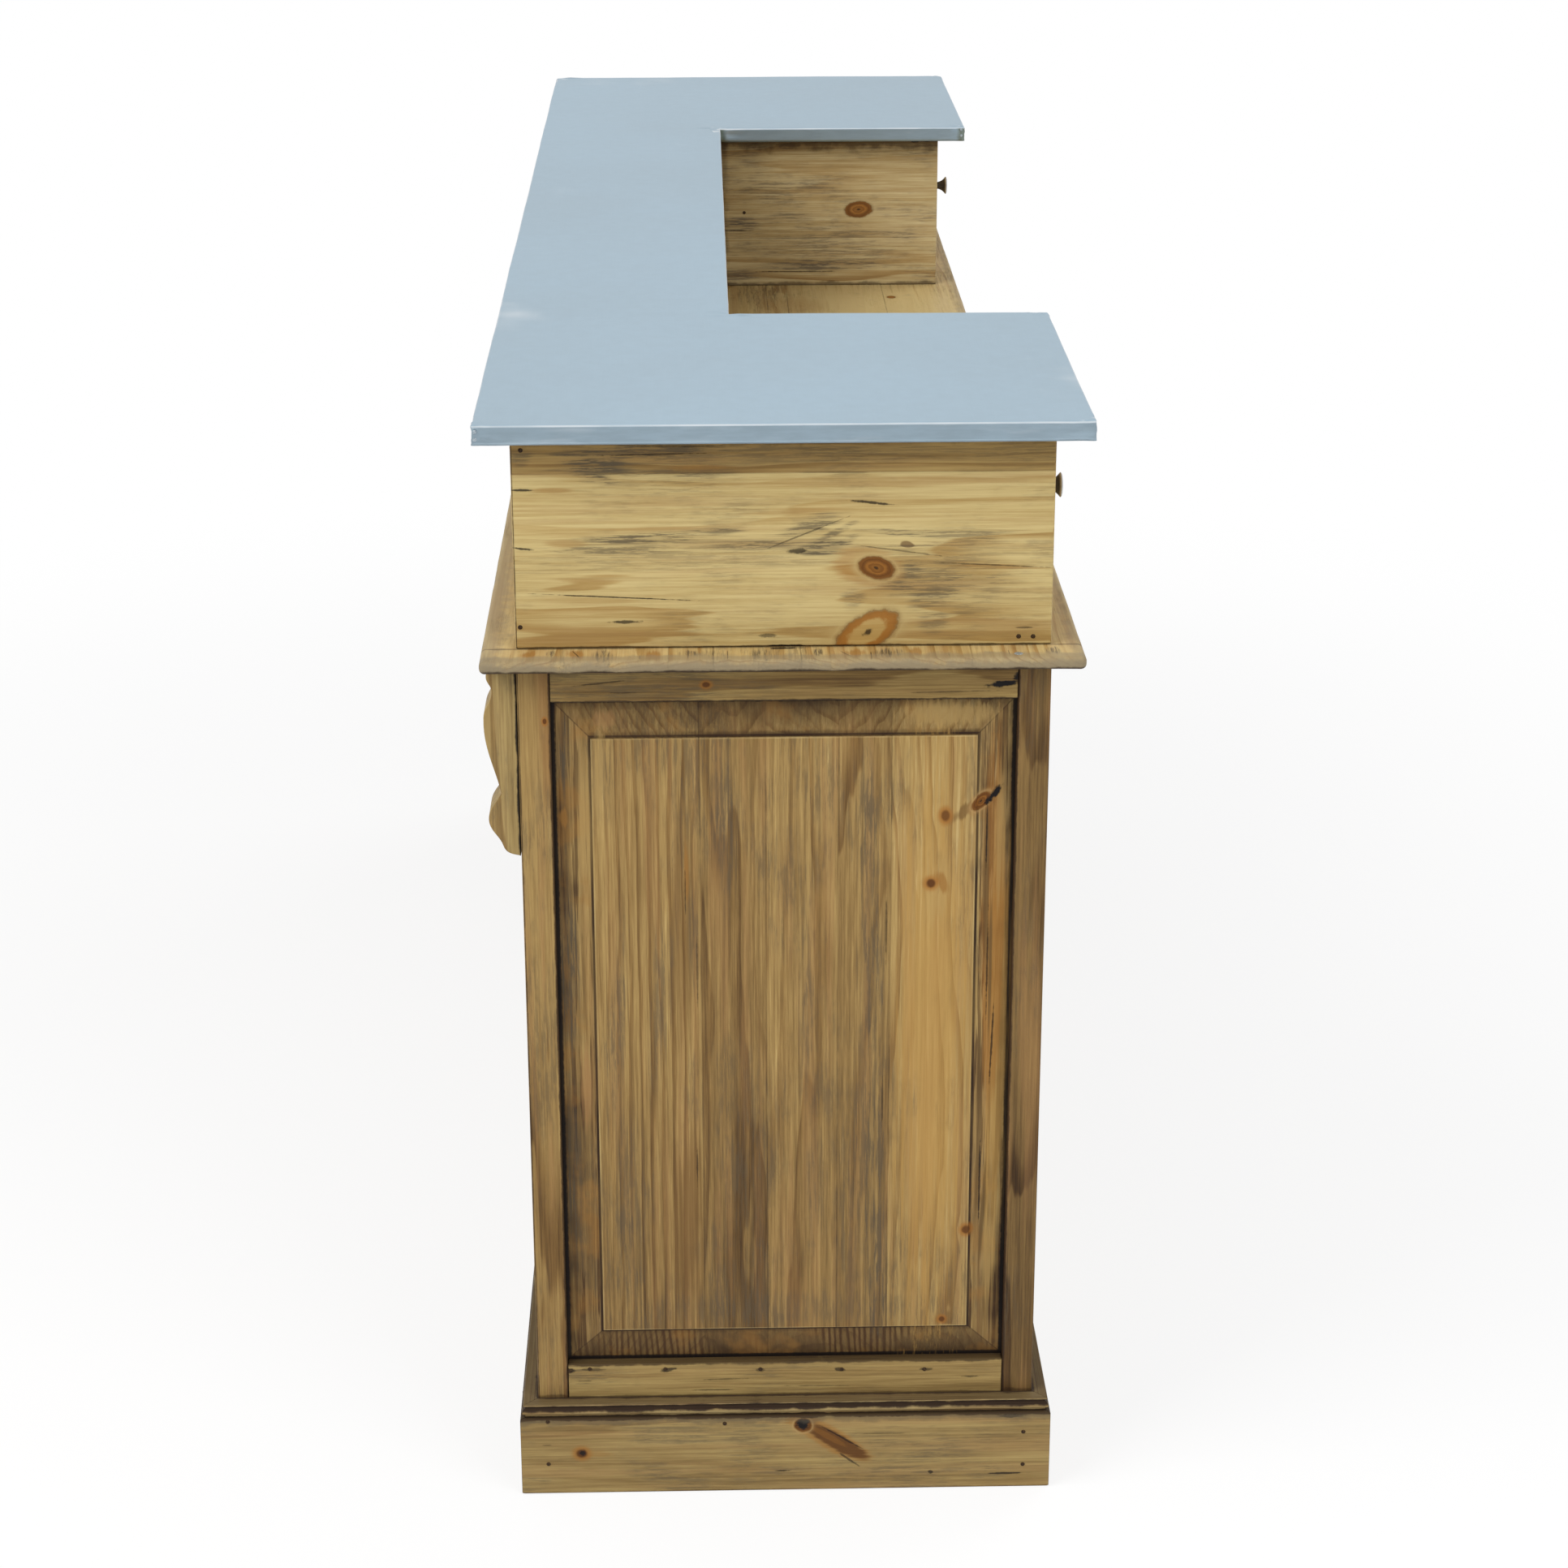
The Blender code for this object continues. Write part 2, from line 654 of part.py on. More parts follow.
def make_zinc(zinc):
    """One sheet, U shaped, folded down over every edge of the boards under it."""
    outline = [
        (-HALF_LENGTH, -HALF_DEPTH),
        (HALF_LENGTH, -HALF_DEPTH),
        (HALF_LENGTH, HALF_DEPTH),
        (WING_INNER_X, HALF_DEPTH),
        (WING_INNER_X, BAR_INNER_Y),
        (-WING_INNER_X, BAR_INNER_Y),
        (-WING_INNER_X, HALF_DEPTH),
        (-HALF_LENGTH, HALF_DEPTH),
    ]
    skirt = COUNTER_HEIGHT - TOP_BOARD_UNDER
    bm = bmesh.new()
    sheet = bm.faces.new([bm.verts.new((x, y, 0)) for x, y in outline])
    rim = list(bm.edges)
    down = bmesh.ops.extrude_edge_only(bm, edges=rim)
    lower = [v for v in down["geom"] if isinstance(v, bmesh.types.BMVert)]
    bmesh.ops.translate(bm, vec=(0, 0, -skirt), verts=lower)
    bmesh.ops.recalc_face_normals(bm, faces=bm.faces)
    if sheet.normal.z < 0:
        bmesh.ops.reverse_faces(bm, faces=bm.faces)
    inner = {(WING_INNER_X, BAR_INNER_Y), (-WING_INNER_X, BAR_INNER_Y)}
    folds = [e for e in bm.edges if len(e.link_faces) == 2 and is_fold(e, inner)]
    bmesh.ops.bevel(
        bm,
        geom=folds,
        offset=ZINC_BEND,
        affect="EDGES",
        segments=FOLD_STEPS,
        profile=0.5,
        material=-1,
    )
    top = add_object("zinc_top", bm, zinc, (0, 0, COUNTER_HEIGHT))
    shell = top.modifiers.new("sheet", "SOLIDIFY")
    shell.thickness = ZINC_SHEET
    shell.offset = -1
    shell.use_even_offset = True


def is_fold(edge, inner):
    """True for the top arrises and the outer upright corners, not the two inner corners."""
    a, b = edge.verts
    if abs(a.co.z - b.co.z) < FIT:
        return True
    return not any(math.dist(a.co.xy, corner) < FIT for corner in inner)


def slide_frame(name, x):
    """The empty that carries one drawer, at the middle of its front."""
    empty = bpy.data.objects.new(name, None)
    parts.objects.link(empty)
    empty.location = (x, TIER_Y, (TIER_FOOT + TIER_TOP) / 2)
    bpy.context.view_layer.update()
    return empty


def make_drawer(end, side, pine, inner_pine, iron):
    bay_in = WALL_X + TIER_BOARD
    bay_out = TIER_X - TIER_BOARD
    centre_x = side * (bay_in + bay_out) / 2
    half = (bay_out - bay_in) / 2 - DRAWER_GAP
    carrier = slide_frame(f"{end}_drawer_slide", centre_x)
    home = Vector(carrier.location)

    def part(label, x, y, z, material, edge=SMALL_EDGE, segments=1):
        spans = [[value - home[axis] for value in span] for axis, span in enumerate((x, y, z))]
        return board(f"{end}_drawer_{label}", *spans, material, edge, segments, carrier)

    foot = WORK_HEIGHT + DRAWER_RUN
    front_in = TIER_Y - TIER_BOARD
    stop = -TIER_Y + TIER_BOARD + FIT
    front = part(
        "front",
        (centre_x - half, centre_x + half),
        (front_in, TIER_Y),
        (WORK_HEIGHT + DRAWER_GAP, TIER_TOP - DRAWER_GAP),
        pine,
        EDGE,
        EDGE_STEPS,
    )
    side_top = TIER_TOP - DRAWER_HEADROOM
    bottom_z = foot + DRAWER_BOTTOM_RISE
    bottom_top = bottom_z + DRAWER_BOTTOM
    groove_z = (bottom_z - FIT, bottom_top + FIT)
    inside = half - DRAWER_SIDE
    for label, hand in (("side_out", side), ("side_in", -side)):
        piece = part(
            label,
            (centre_x + hand * inside, centre_x + hand * half),
            (stop, front_in - FIT),
            (foot, side_top),
            inner_pine,
        )
        groove_x = (
            centre_x + hand * (inside - CUT_PAST),
            centre_x + hand * (inside + DRAWER_GROOVE),
        )
        cut(piece, groove_x, (stop - CUT_PAST, front_in + CUT_PAST), groove_z)
    back_half = inside - FIT
    part(
        "back",
        (centre_x - back_half, centre_x + back_half),
        (stop, stop + DRAWER_SIDE),
        (bottom_top + FIT, side_top),
        inner_pine,
    )
    bottom_half = inside + DRAWER_GROOVE - FIT
    part(
        "bottom",
        (centre_x - bottom_half, centre_x + bottom_half),
        (stop, front_in + DRAWER_GROOVE - FIT),
        (bottom_z, bottom_top),
        inner_pine,
        0,
    )
    front_groove_x = (centre_x - bottom_half - FIT, centre_x + bottom_half + FIT)
    cut(front, front_groove_x, (front_in - CUT_PAST, front_in + DRAWER_GROOVE), groove_z)
    make_knob(f"{end}_drawer_knob", front, carrier, iron)


def turned(name, profile):
    """A turned mesh about Z from (radius, height) points, top to bottom."""
    bm = bmesh.new()
    verts = [bm.verts.new((radius, 0, height)) for radius, height in profile]
    for upper, lower in zip(verts, verts[1:]):
        bm.edges.new((upper, lower))
    mesh = bpy.data.meshes.new(name)
    bm.to_mesh(mesh)
    bm.free()
    obj = bpy.data.objects.new(name, mesh)
    screw = obj.modifiers.new("turn", "SCREW")
    screw.axis = "Z"
    screw.steps = KNOB_STEPS
    screw.render_steps = KNOB_STEPS
    screw.use_merge_vertices = True
    screw.merge_threshold = WELD
    return obj


def make_knob(name, front, carrier, iron):
    """A trumpet knob: a thin neck flaring to a flat, rimmed head, with a spigot in the front."""
    flare_top = KNOB_REACH - KNOB_RIM
    flare_foot = KNOB_FOOT_HEIGHT + KNOB_FOOT_ROUND
    profile = [(0, KNOB_REACH), (KNOB_FACE, KNOB_REACH), (KNOB_HEAD, flare_top + KNOB_RIM / 2)]
    for step in range(FLARE_STEPS + 1):
        share = step / FLARE_STEPS
        radius = KNOB_NECK + (KNOB_HEAD - KNOB_NECK) * (1 - share) ** 2
        profile.append((radius, flare_top * (1 - share) + flare_foot * share))
    profile += [(KNOB_FOOT, KNOB_FOOT_HEIGHT), (KNOB_FOOT, FIT), (KNOB_SPIGOT, FIT)]
    profile += [(KNOB_SPIGOT, -KNOB_SPIGOT_LENGTH), (0, -KNOB_SPIGOT_LENGTH)]
    knob = turned(name, profile)
    parts.objects.link(knob)
    knob.data.materials.append(iron)
    knob.parent = carrier
    knob.rotation_euler = (math.radians(-90), 0, 0)
    bore = KNOB_SPIGOT + FIT
    depth = KNOB_SPIGOT_LENGTH + FIT
    hole = turned(f"{name}_hole", [(0, CUT_PAST), (bore, CUT_PAST), (bore, -depth), (0, -depth)])
    cutters.objects.link(hole)
    hole.parent = carrier
    hole.rotation_euler = knob.rotation_euler
    subtract(front, hole)


def main():
    global parts, cutters
    clear_scene()
    parts = new_collection("bar_counter")
    cutters = new_collection("cutters")
    pine = new_material("waxed_pine", (0.46, 0.30, 0.13), 0.55)
    panel_pine = new_material("panel_pine", (0.50, 0.33, 0.15), 0.55)
    inner_pine = new_material("raw_pine", (0.60, 0.44, 0.24), 0.7)
    zinc = new_material("zinc_sheet", (0.42, 0.51, 0.58), 0.35, 0.9)
    iron = new_material("dark_iron", (0.07, 0.07, 0.07), 0.45, 0.9)
    make_base(pine)
    make_posts(pine)
    make_end_frames(pine, panel_pine)
    make_front_frame(pine, panel_pine)
    make_back_frame(pine)
    make_inside(inner_pine)
    make_work_board(pine)
    make_corbels(pine)
    make_upper_tier(pine)
    make_top(inner_pine, zinc)
    make_drawer("right", 1, pine, inner_pine, iron)
    make_drawer("left", -1, pine, inner_pine, iron)


main()
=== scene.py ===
"""Looks for the bar counter: old waxed pine under a zinc bar top.

Metres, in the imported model's frame. +X is the end that faces the camera, -Y the
customers' side, +Y the serving side and +Z up.
"""

import math
import random

import bmesh
import bpy
from mathutils import Matrix, Vector, noise


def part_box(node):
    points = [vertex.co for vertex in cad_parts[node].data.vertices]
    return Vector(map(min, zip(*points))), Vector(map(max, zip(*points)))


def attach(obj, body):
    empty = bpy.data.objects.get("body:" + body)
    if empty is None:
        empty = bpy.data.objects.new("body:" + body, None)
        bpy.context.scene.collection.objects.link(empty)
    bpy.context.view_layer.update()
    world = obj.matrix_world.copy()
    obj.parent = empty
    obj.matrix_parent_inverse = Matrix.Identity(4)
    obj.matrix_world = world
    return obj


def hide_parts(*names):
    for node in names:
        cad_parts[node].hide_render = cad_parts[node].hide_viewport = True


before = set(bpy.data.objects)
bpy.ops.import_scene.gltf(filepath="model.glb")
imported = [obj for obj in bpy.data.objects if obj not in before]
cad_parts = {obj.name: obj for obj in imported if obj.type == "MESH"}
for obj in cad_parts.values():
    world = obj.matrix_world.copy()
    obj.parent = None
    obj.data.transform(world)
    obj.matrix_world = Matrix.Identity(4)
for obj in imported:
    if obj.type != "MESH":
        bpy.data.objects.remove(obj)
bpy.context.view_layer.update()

# Colours of the finishes, linear. The first five run from the darkest wood to the lightest
BARK = (0.034, 0.019, 0.009)
WALNUT = (0.124, 0.073, 0.027)
BROWN = (0.252, 0.155, 0.054)
HONEY = (0.402, 0.268, 0.098)
# The lightest wood, also a painted highlight on the panels' field arrises and painted light over the work
# board's recess
STRAW = (0.575, 0.436, 0.198)
# Smoky grey for streaks and stains, also painted shade under the mouldings' lips
SMOKE_AND_SHADE = (0.098, 0.074, 0.046)
AMBER = (0.290, 0.140, 0.034)
TEA = (0.150, 0.080, 0.026)
GOLD = (0.450, 0.262, 0.072)
ROSE = (0.335, 0.180, 0.070)
KNOT_BROWN = (0.088, 0.030, 0.008)
RUST = (0.310, 0.120, 0.020)
# Dark patina in hollows and joints, also painted shade in creases, gaps and under overhangs
PATINA_AND_SHADE = (0.032, 0.017, 0.010)
# Near black: black marks, and painted shadow in the panels' grooves and behind the corbels
PITCH = (0.010, 0.008, 0.008)
UMBER = (0.060, 0.028, 0.012)
NOSE_GREY = (0.240, 0.195, 0.125)
ZINC_LIGHT = (0.464, 0.610, 0.716)
ZINC_DARK = (0.428, 0.560, 0.654)
ZINC_SKIRT = (0.255, 0.320, 0.366)
# Rubbed zinc, and the painted highlight along the top's bend
ZINC_RUB_AND_HIGHLIGHT = (0.80, 0.86, 0.90)
SOLDER = (0.20, 0.23, 0.17)
IRON = (0.105, 0.105, 0.110)
IRON_WORN = (0.64, 0.63, 0.60)
TIN = (0.52, 0.58, 0.62)
NAIL_RUST = (0.030, 0.018, 0.012)

# How far a panel's field lies inside its box: the tongue in the groove and the long bevel
FIELD_MARGIN = 0.044

# Heights of the boards' edges, from the floor up, and the end openings' half width
MOULDING_TOP = 0.1000
OPENING_FOOT = 0.1373
OPENING_HEAD = 0.8317
WORK_BOARD_UNDER = 0.8682
WORK_BOARD_TOP = 0.8813
BAR_BOARD_UNDER = 1.0814
OPENING_Y = 0.216

# The zinc's plan: half the recess's length, the bar's inner edge and the wings' ends
RECESS_X = 0.557
BAR_INNER_Y = -0.045
WING_END_Y = 0.277

# How much is rubbed off a board's arrises, and how little the waxed wood mirrors
ARRIS = 0.0008
WAX_MIRROR = 0.12

# Heads of the nails and of the plug in the work board: radius, and how far they stand out
NAIL = (0.0022, 0.0008)
ZINC_NAIL = (0.0019, 0.0012)
PLUG = (0.0042, 0.0004)

AXES = "xyz"


class Value:
    """A socket in a material. Sums with it add the Math nodes that work them out."""

    def __init__(self, finish, socket):
        self.finish = finish
        self.socket = socket

    def math(self, operation, *values):
        return self.finish.node("ShaderNodeMath", {"operation": operation}, values)

    def other(self, name):
        """Another output of the node that this value comes from."""
        return Value(self.finish, self.socket.node.outputs[name])

    def __add__(self, other):
        return self.math("ADD", self, other)

    def __radd__(self, other):
        return self.math("ADD", other, self)

    def __sub__(self, other):
        return self.math("SUBTRACT", self, other)

    def __rsub__(self, other):
        return self.math("SUBTRACT", other, self)

    def __mul__(self, other):
        return self.math("MULTIPLY", self, other)

    def __rmul__(self, other):
        return self.math("MULTIPLY", other, self)

    def __truediv__(self, other):
        return self.math("DIVIDE", self, other)

    def __abs__(self):
        return self.math("ABSOLUTE", self)

    def above(self, other):
        return self.math("GREATER_THAN", self, other)

    def larger(self, other):
        return self.math("MAXIMUM", self, other)

    def whole(self):
        return self.math("FLOOR", self)

    def part(self):
        return self.math("FRACT", self)

    def root(self):
        return self.math("SQRT", self)

    def falling(self):
        """e to the power of minus this value."""
        return self.math("EXPONENT", self * -1.0)

    def spread(self, by):
        """A noise's swing about its middle, 0.5, made by times as large."""
        return self.math("MULTIPLY_ADD", self, by, -0.5 * by)

    def rise(self, low, high, top=1.0):
        """0 below low, top above high, and a smooth step between them."""
        return self.finish.node(
            "ShaderNodeMapRange",
            {"interpolation_type": "SMOOTHSTEP"},
            {"Value": self, "From Min": low, "From Max": high, "To Max": top},
        )

    def fall(self, low, high, top=1.0):
        """top below low, 0 above high, and a smooth step between them."""
        return self.rise(high, low, top)


class Finish:
    """One material while it is made: its nodes, its shader and the place on the piece."""

    def __init__(self, name):
        self.material = bpy.data.materials.new(name)
        self.material.use_nodes = True
        self.tree = self.material.node_tree
        self.shader = self.tree.nodes["Principled BSDF"]
        self.place = self.node("ShaderNodeTexCoord", {}, (), "Object")
        self.x = self.node("ShaderNodeSeparateXYZ", {}, (self.place,))
        self.y = self.x.other("Y")
        self.z = self.x.other("Z")

    def node(self, kind, settings, inputs, output=0):
        made = self.tree.nodes.new(kind)
        for key, value in settings.items():
            if key == "stops":
                stops = made.color_ramp.elements
                stops.remove(stops[1])
                stops[0].color = (*value[0][1], 1.0)
                for position, colour in value[1:]:
                    stops.new(position).color = (*colour, 1.0)
            else:
                setattr(made, key, value)
        pairs = inputs.items() if isinstance(inputs, dict) else enumerate(inputs)
        for key, value in pairs:
            self.feed(made.inputs[key], value)
        return Value(self, made.outputs[output])

    def feed(self, socket, value):
        if isinstance(value, Value):
            self.tree.links.new(value.socket, socket)
        elif socket.type == "RGBA":
            socket.default_value = (*value, 1.0)
        else:
            socket.default_value = value

    def vector(self, x, y, z):
        return self.node("ShaderNodeCombineXYZ", {}, (x, y, z))

    def noise(self, vector, scale=1.0, detail=2.0, roughness=0.5):
        inputs = {"Vector": vector, "Scale": scale, "Detail": detail, "Roughness": roughness}
        return self.node("ShaderNodeTexNoise", {}, inputs)

    def mix(self, share, under, over, blend="MIX"):
        settings = {"data_type": "RGBA", "blend_type": blend}
        return self.node("ShaderNodeMix", settings, {0: share, 6: under, 7: over}, 2)

    def brighten(self, colour, by):
        return self.node("ShaderNodeVectorMath", {"operation": "SCALE"}, {0: colour, "Scale": by})

    def bump(self, height, distance, strength=1.0):
        inputs = {"Height": height, "Distance": distance, "Strength": strength}
        return self.node("ShaderNodeBump", {}, inputs)

    def wear(self, **sockets):
        """Feed the shader, such as Base_Color or Roughness, and give the material back."""
        for name, value in sockets.items():
            self.feed(self.shader.inputs[name.replace("_", " ")], value)
        return self.material


class Plank(Finish):
    """A pine finish: the place on it is told along, across and through the board."""

    def __init__(self, name, along, across, seed):
        super().__init__(name)
        places = {"x": self.x, "y": self.y, "z": self.z}
        through = next(axis for axis in AXES if axis not in (along, across))
        self.along = places[along]
        self.across = places[across]
        self.through = places[through]
        self.flat = self.vector(self.along, self.across, 0.0)
        self.luck = random.Random(seed)
        self.shift = self.luck.uniform(1.0, 40.0)

    def streaks(self, fineness, stretch, detail=2.0, roughness=0.5):
        """Noise drawn out along the grain, fineness to the metre across it."""
        shift = self.luck.uniform(0.0, 60.0)
        vector = self.vector(
            self.along * (fineness / stretch) + shift,
            self.across * fineness + self.shift,
            self.through * fineness,
        )
        return self.noise(vector, 1.0, detail, roughness)

    def ellipse(self, at, half_along, half_across, tilt=0.0):
        """How far a place is from a mark's middle, as shares of its half sizes."""
        inputs = {
            "Vector": self.flat,
            "Location": (at[0], at[1], 0.0),
            "Rotation": (0.0, 0.0, math.radians(tilt)),
            "Scale": (half_along, half_across, 1.0),
        }
        placed = self.node("ShaderNodeMapping", {"vector_type": "TEXTURE"}, inputs)
        return self.node("ShaderNodeVectorMath", {"operation": "LENGTH"}, (placed,), "Value")

    def palette(self, level):
        stops = ((0.0, BARK), (0.25, WALNUT), (0.5, BROWN), (0.75, HONEY), (1.0, STRAW))
        return self.node("ShaderNodeValToRGB", {"stops": stops}, (level,))


def old_pine(
    name,
    along,
    across,
    seed,
    tone=0.5,
    tint=(1.0, 1.0, 1.0),
    fade=None,
    middle=0.0,
    heart=0.055,
    sway=0.0,
    ring=0.0034,
    rings=0.22,
    threads=0.50,
    fibres=0.70,
    bands=0.30,
    joints=(),
    tones=(),
    knots=(),
    stains=(),
    marks=(),
    smoke=0.5,
    rose=0.35,
    soil=(),
    field=None,
    sheen=0.46,
):
    """Old pine, waxed: growth rings, fibres, knots, smoky streaks, marks and patina, with painted shade
    along some edges and towards one end.

    tone runs from 0, bark, to 1, straw, and tint tints it all. The heart of the tree
    lies heart behind the board's middle. ring is a growth ring's width and rings how
    dark its late wood is. threads, fibres and bands are how far the fine, the finest
    and the broad streaks swing, smoke and rose how strong the grey and the reddish are.

    joints are the glue lines' places across the board, tones what each stave adds to
    tone, and sway spreads the staves' hearts. knots are (along, across, half length,
    half width, tilt, depth). stains are the same with a strength and a colour instead
    of a depth, and marks with a strength. soil is (axis, place, reach, strength) for
    dark edges: grime in some places, painted shade in creases, gaps and under overhangs
    in others. fade (axis, from, to, by) is painted shade that darkens a board towards one
    end, and field a raised panel's (low, high) corners. sheen is the wax's roughness.
    """
    wood = Plank(name, along, across, seed)
    b, c = wood.across, wood.through
    wander = wood.streaks(9.0, 6.0).spread(1.0)
    ripple = wood.streaks(55.0, 12.0).spread(1.0)
    wobble = wood.noise(wood.place, 150.0, 3.0, 0.6).spread(1.0)

    stave = 0.0
    glue = 0.0
    level = tone + (tones[0] if tones else 0.0)
    for number, joint in enumerate(joints):
        beside = b + wander * 0.002 - joint
        past = beside.above(0.0)
        stave = past + stave
        level = past * (tones[number + 1] - tones[number]) + level
        glue = abs(beside).fall(0.0002, 0.0010) + glue
    # Painted shade: the board grows darker towards one end
    if fade:
        axis, near, far, by = fade
        level = getattr(wood, axis).rise(near, far, -by) + level

    heart_b = middle + wood.luck.uniform(-0.05, 0.05)
    offset = b - heart_b + wander * 0.030
    deep = c + (heart if wood.luck.random() < 0.5 else -heart)
    width = ring
    if joints:
        pick = wood.node("ShaderNodeTexWhiteNoise", {"noise_dimensions": "1D"}, {"W": stave + seed})
        offset = offset + stave * 0.0371 + pick.spread(sway)
        deep = deep + stave * 0.017
        width = pick * ring * 0.6 + ring * 0.7
    pictures = []
    for at_a, at_b, half_a, half_b, tilt, depth in knots:
        away = wood.ellipse((at_a, at_b), half_a, half_b, tilt) + wobble * 0.30
        near = (away * away * 0.22).falling()
        offset = offset - (b - at_b) * near * 0.85
        pictures.append((away, depth, half_a < 0.0075))

    radius = (offset * offset + deep * deep).root()
    count = radius / width + ripple * 1.3 + wander * 4.0
    late = count.part()
    late = late.rise(0.50, 0.92) - late.rise(0.93, 1.00)
    each = wood.node("ShaderNodeTexWhiteNoise", {"noise_dimensions": "1D"}, {"W": count.whole()})
    late = late * (each * 0.80 + 0.20)

    fibre = wood.streaks(430.0, 40.0, 4.0, 0.75)
    thread = wood.streaks(230.0, 55.0, 4.0, 0.70)
    cloud = wood.streaks(9.0, 2.2, 4.0, 0.6)
    drift = wood.streaks(40.0, 26.0, 3.0, 0.6)
    level = cloud.spread(bands) + drift.spread(bands * 0.6) + thread.spread(threads) + level
    level = level + fibre.spread(fibres) - late * rings

    colour = wood.palette(level)
    colour = wood.mix(late * (rings * 1.8), colour, (0.80, 0.60, 0.42), "MULTIPLY")
    blush = wood.streaks(90.0, 26.0, 3.0).rise(0.48, 0.64, rose)
    colour = wood.mix(blush, colour, ROSE)
    patchy = wood.streaks(13.0, 2.4, 5.0, 0.68).rise(0.46, 0.62)
    hairs = wood.streaks(340.0, 16.0, 4.0, 0.75).rise(0.46, 0.56)
    grey = (hairs * 0.85 + 0.15) * patchy
    colour = wood.mix(grey * smoke, colour, SMOKE_AND_SHADE)

    if field:
        colour = add_panel_patina_shade_and_highlight(wood, colour, along, across, field, wobble, ripple)
    colour = add_stains(wood, colour, stains, hairs, thread)
    for away, depth, small in pictures:
        colour = add_knot(wood, colour, away, depth, small, ripple)

    rag = wobble * 1.3 + fibre.spread(1.0)
    dark_mark = 0.0
    for at_a, at_b, half_a, half_b, tilt, strength in marks:
        away = wood.ellipse((at_a, at_b), half_a, half_b, tilt) + rag
        spot = away.fall(0.50, 1.00, strength)
        dark_mark = spot.larger(dark_mark)
    if marks:
        colour = wood.mix(dark_mark, colour, PITCH)
    if joints:
        colour = wood.mix(glue * (patchy * 0.35 + 0.15), colour, PATINA_AND_SHADE)

    colour = add_grime_and_shade(wood, colour, soil)
    colour = wood.mix(1.0, colour, tint, "MULTIPLY")

    height = fibre * 0.5 - late * 0.3 - grey * 0.4 - dark_mark * 2.0 - glue * 0.8
    rough = fibre.spread(0.16) + grey * 0.14 - late * 0.06 + sheen
    wood.shader.inputs["Specular IOR Level"].default_value = WAX_MIRROR
    return wood.wear(
        Base_Color=colour,
        Roughness=rough,
        Normal=wood.bump(height, 0.0005, 0.5),
    )


def add_grime_and_shade(wood, colour, soil):
    """Grime that has gathered along edges, and painted shade in creases, gaps and under overhangs, in dark
    patina or in a colour of its own.
    """
    ragged_edge = wood.noise(wood.place, 42.0, 4.0, 0.62).spread(1.8)
    for axis, place, reach, strength, *shade in soil:
        depth = abs(getattr(wood, axis) - place) + ragged_edge * reach
        # The darkening: painted shade where the entry lies in a crease, gap or under an overhang, grime
        # elsewhere
        grime_shade_mask = depth.fall(reach * 0.35, reach, strength)
        colour = wood.mix(grime_shade_mask, colour, shade[0] if shade else PATINA_AND_SHADE)
    return colour


def add_stains(wood, colour, stains, hairs, thread):
    """Smoke that lies in the fibres, and soft patches of other colours."""
    frayed = thread.spread(2.2)
    fibrous = hairs * 0.75 + 0.25
    for at_a, at_b, half_a, half_b, tilt, strength, shade in stains:
        firm = shade in (KNOT_BROWN, RUST)
        away = wood.ellipse((at_a, at_b), half_a, half_b, tilt)
        away = away + (frayed * 0.4 if firm else frayed)
        patch = away.fall(0.75 if firm else 0.45, 1.10, strength)
        if shade == SMOKE_AND_SHADE:
            patch = patch * fibrous
        colour = wood.mix(patch, colour, shade)
    return colour


def add_knot(wood, colour, away, depth, small, ripple):
    """A knot with its halo, its rim, its turns and a dark heart, depth from pale to deep."""
    if small:
        colour = wood.mix(away.fall(0.9, 2.1, 0.75), colour, RUST)
        return wood.mix(away.fall(0.60, 1.15, 0.5 + depth * 0.45), colour, KNOT_BROWN)
    turns = (away * 2.4 + ripple * 1.6).part().rise(0.15, 0.85, 0.35)
    inside = away.fall(0.88, 1.02)
    band = away.rise(0.50, 0.70) * inside
    pale = depth < 0.5
    colour = wood.mix((abs(away - 1.18) * 7.0).falling() * 0.45, colour, STRAW)
    colour = wood.mix(away.fall(0.9, 1.8, 0.40), colour, HONEY if depth < 0.9 else RUST)
    colour = wood.mix(inside * (0.5 if pale else 0.95), colour, GOLD if pale else RUST)
    colour = wood.mix(band * (0.90 if pale else 0.45), colour, RUST if pale else KNOT_BROWN)
    if not pale:
        colour = wood.mix(inside * (turns + depth - 0.60), colour, KNOT_BROWN)
    colour = wood.mix((abs(away - 0.97) * 13.0).falling() * 0.55, colour, KNOT_BROWN)
    heart = 0.55 if depth > 0.97 else 0.14
    return wood.mix(away.fall(heart * 0.5, heart * 1.4, 0.90), colour, BARK)


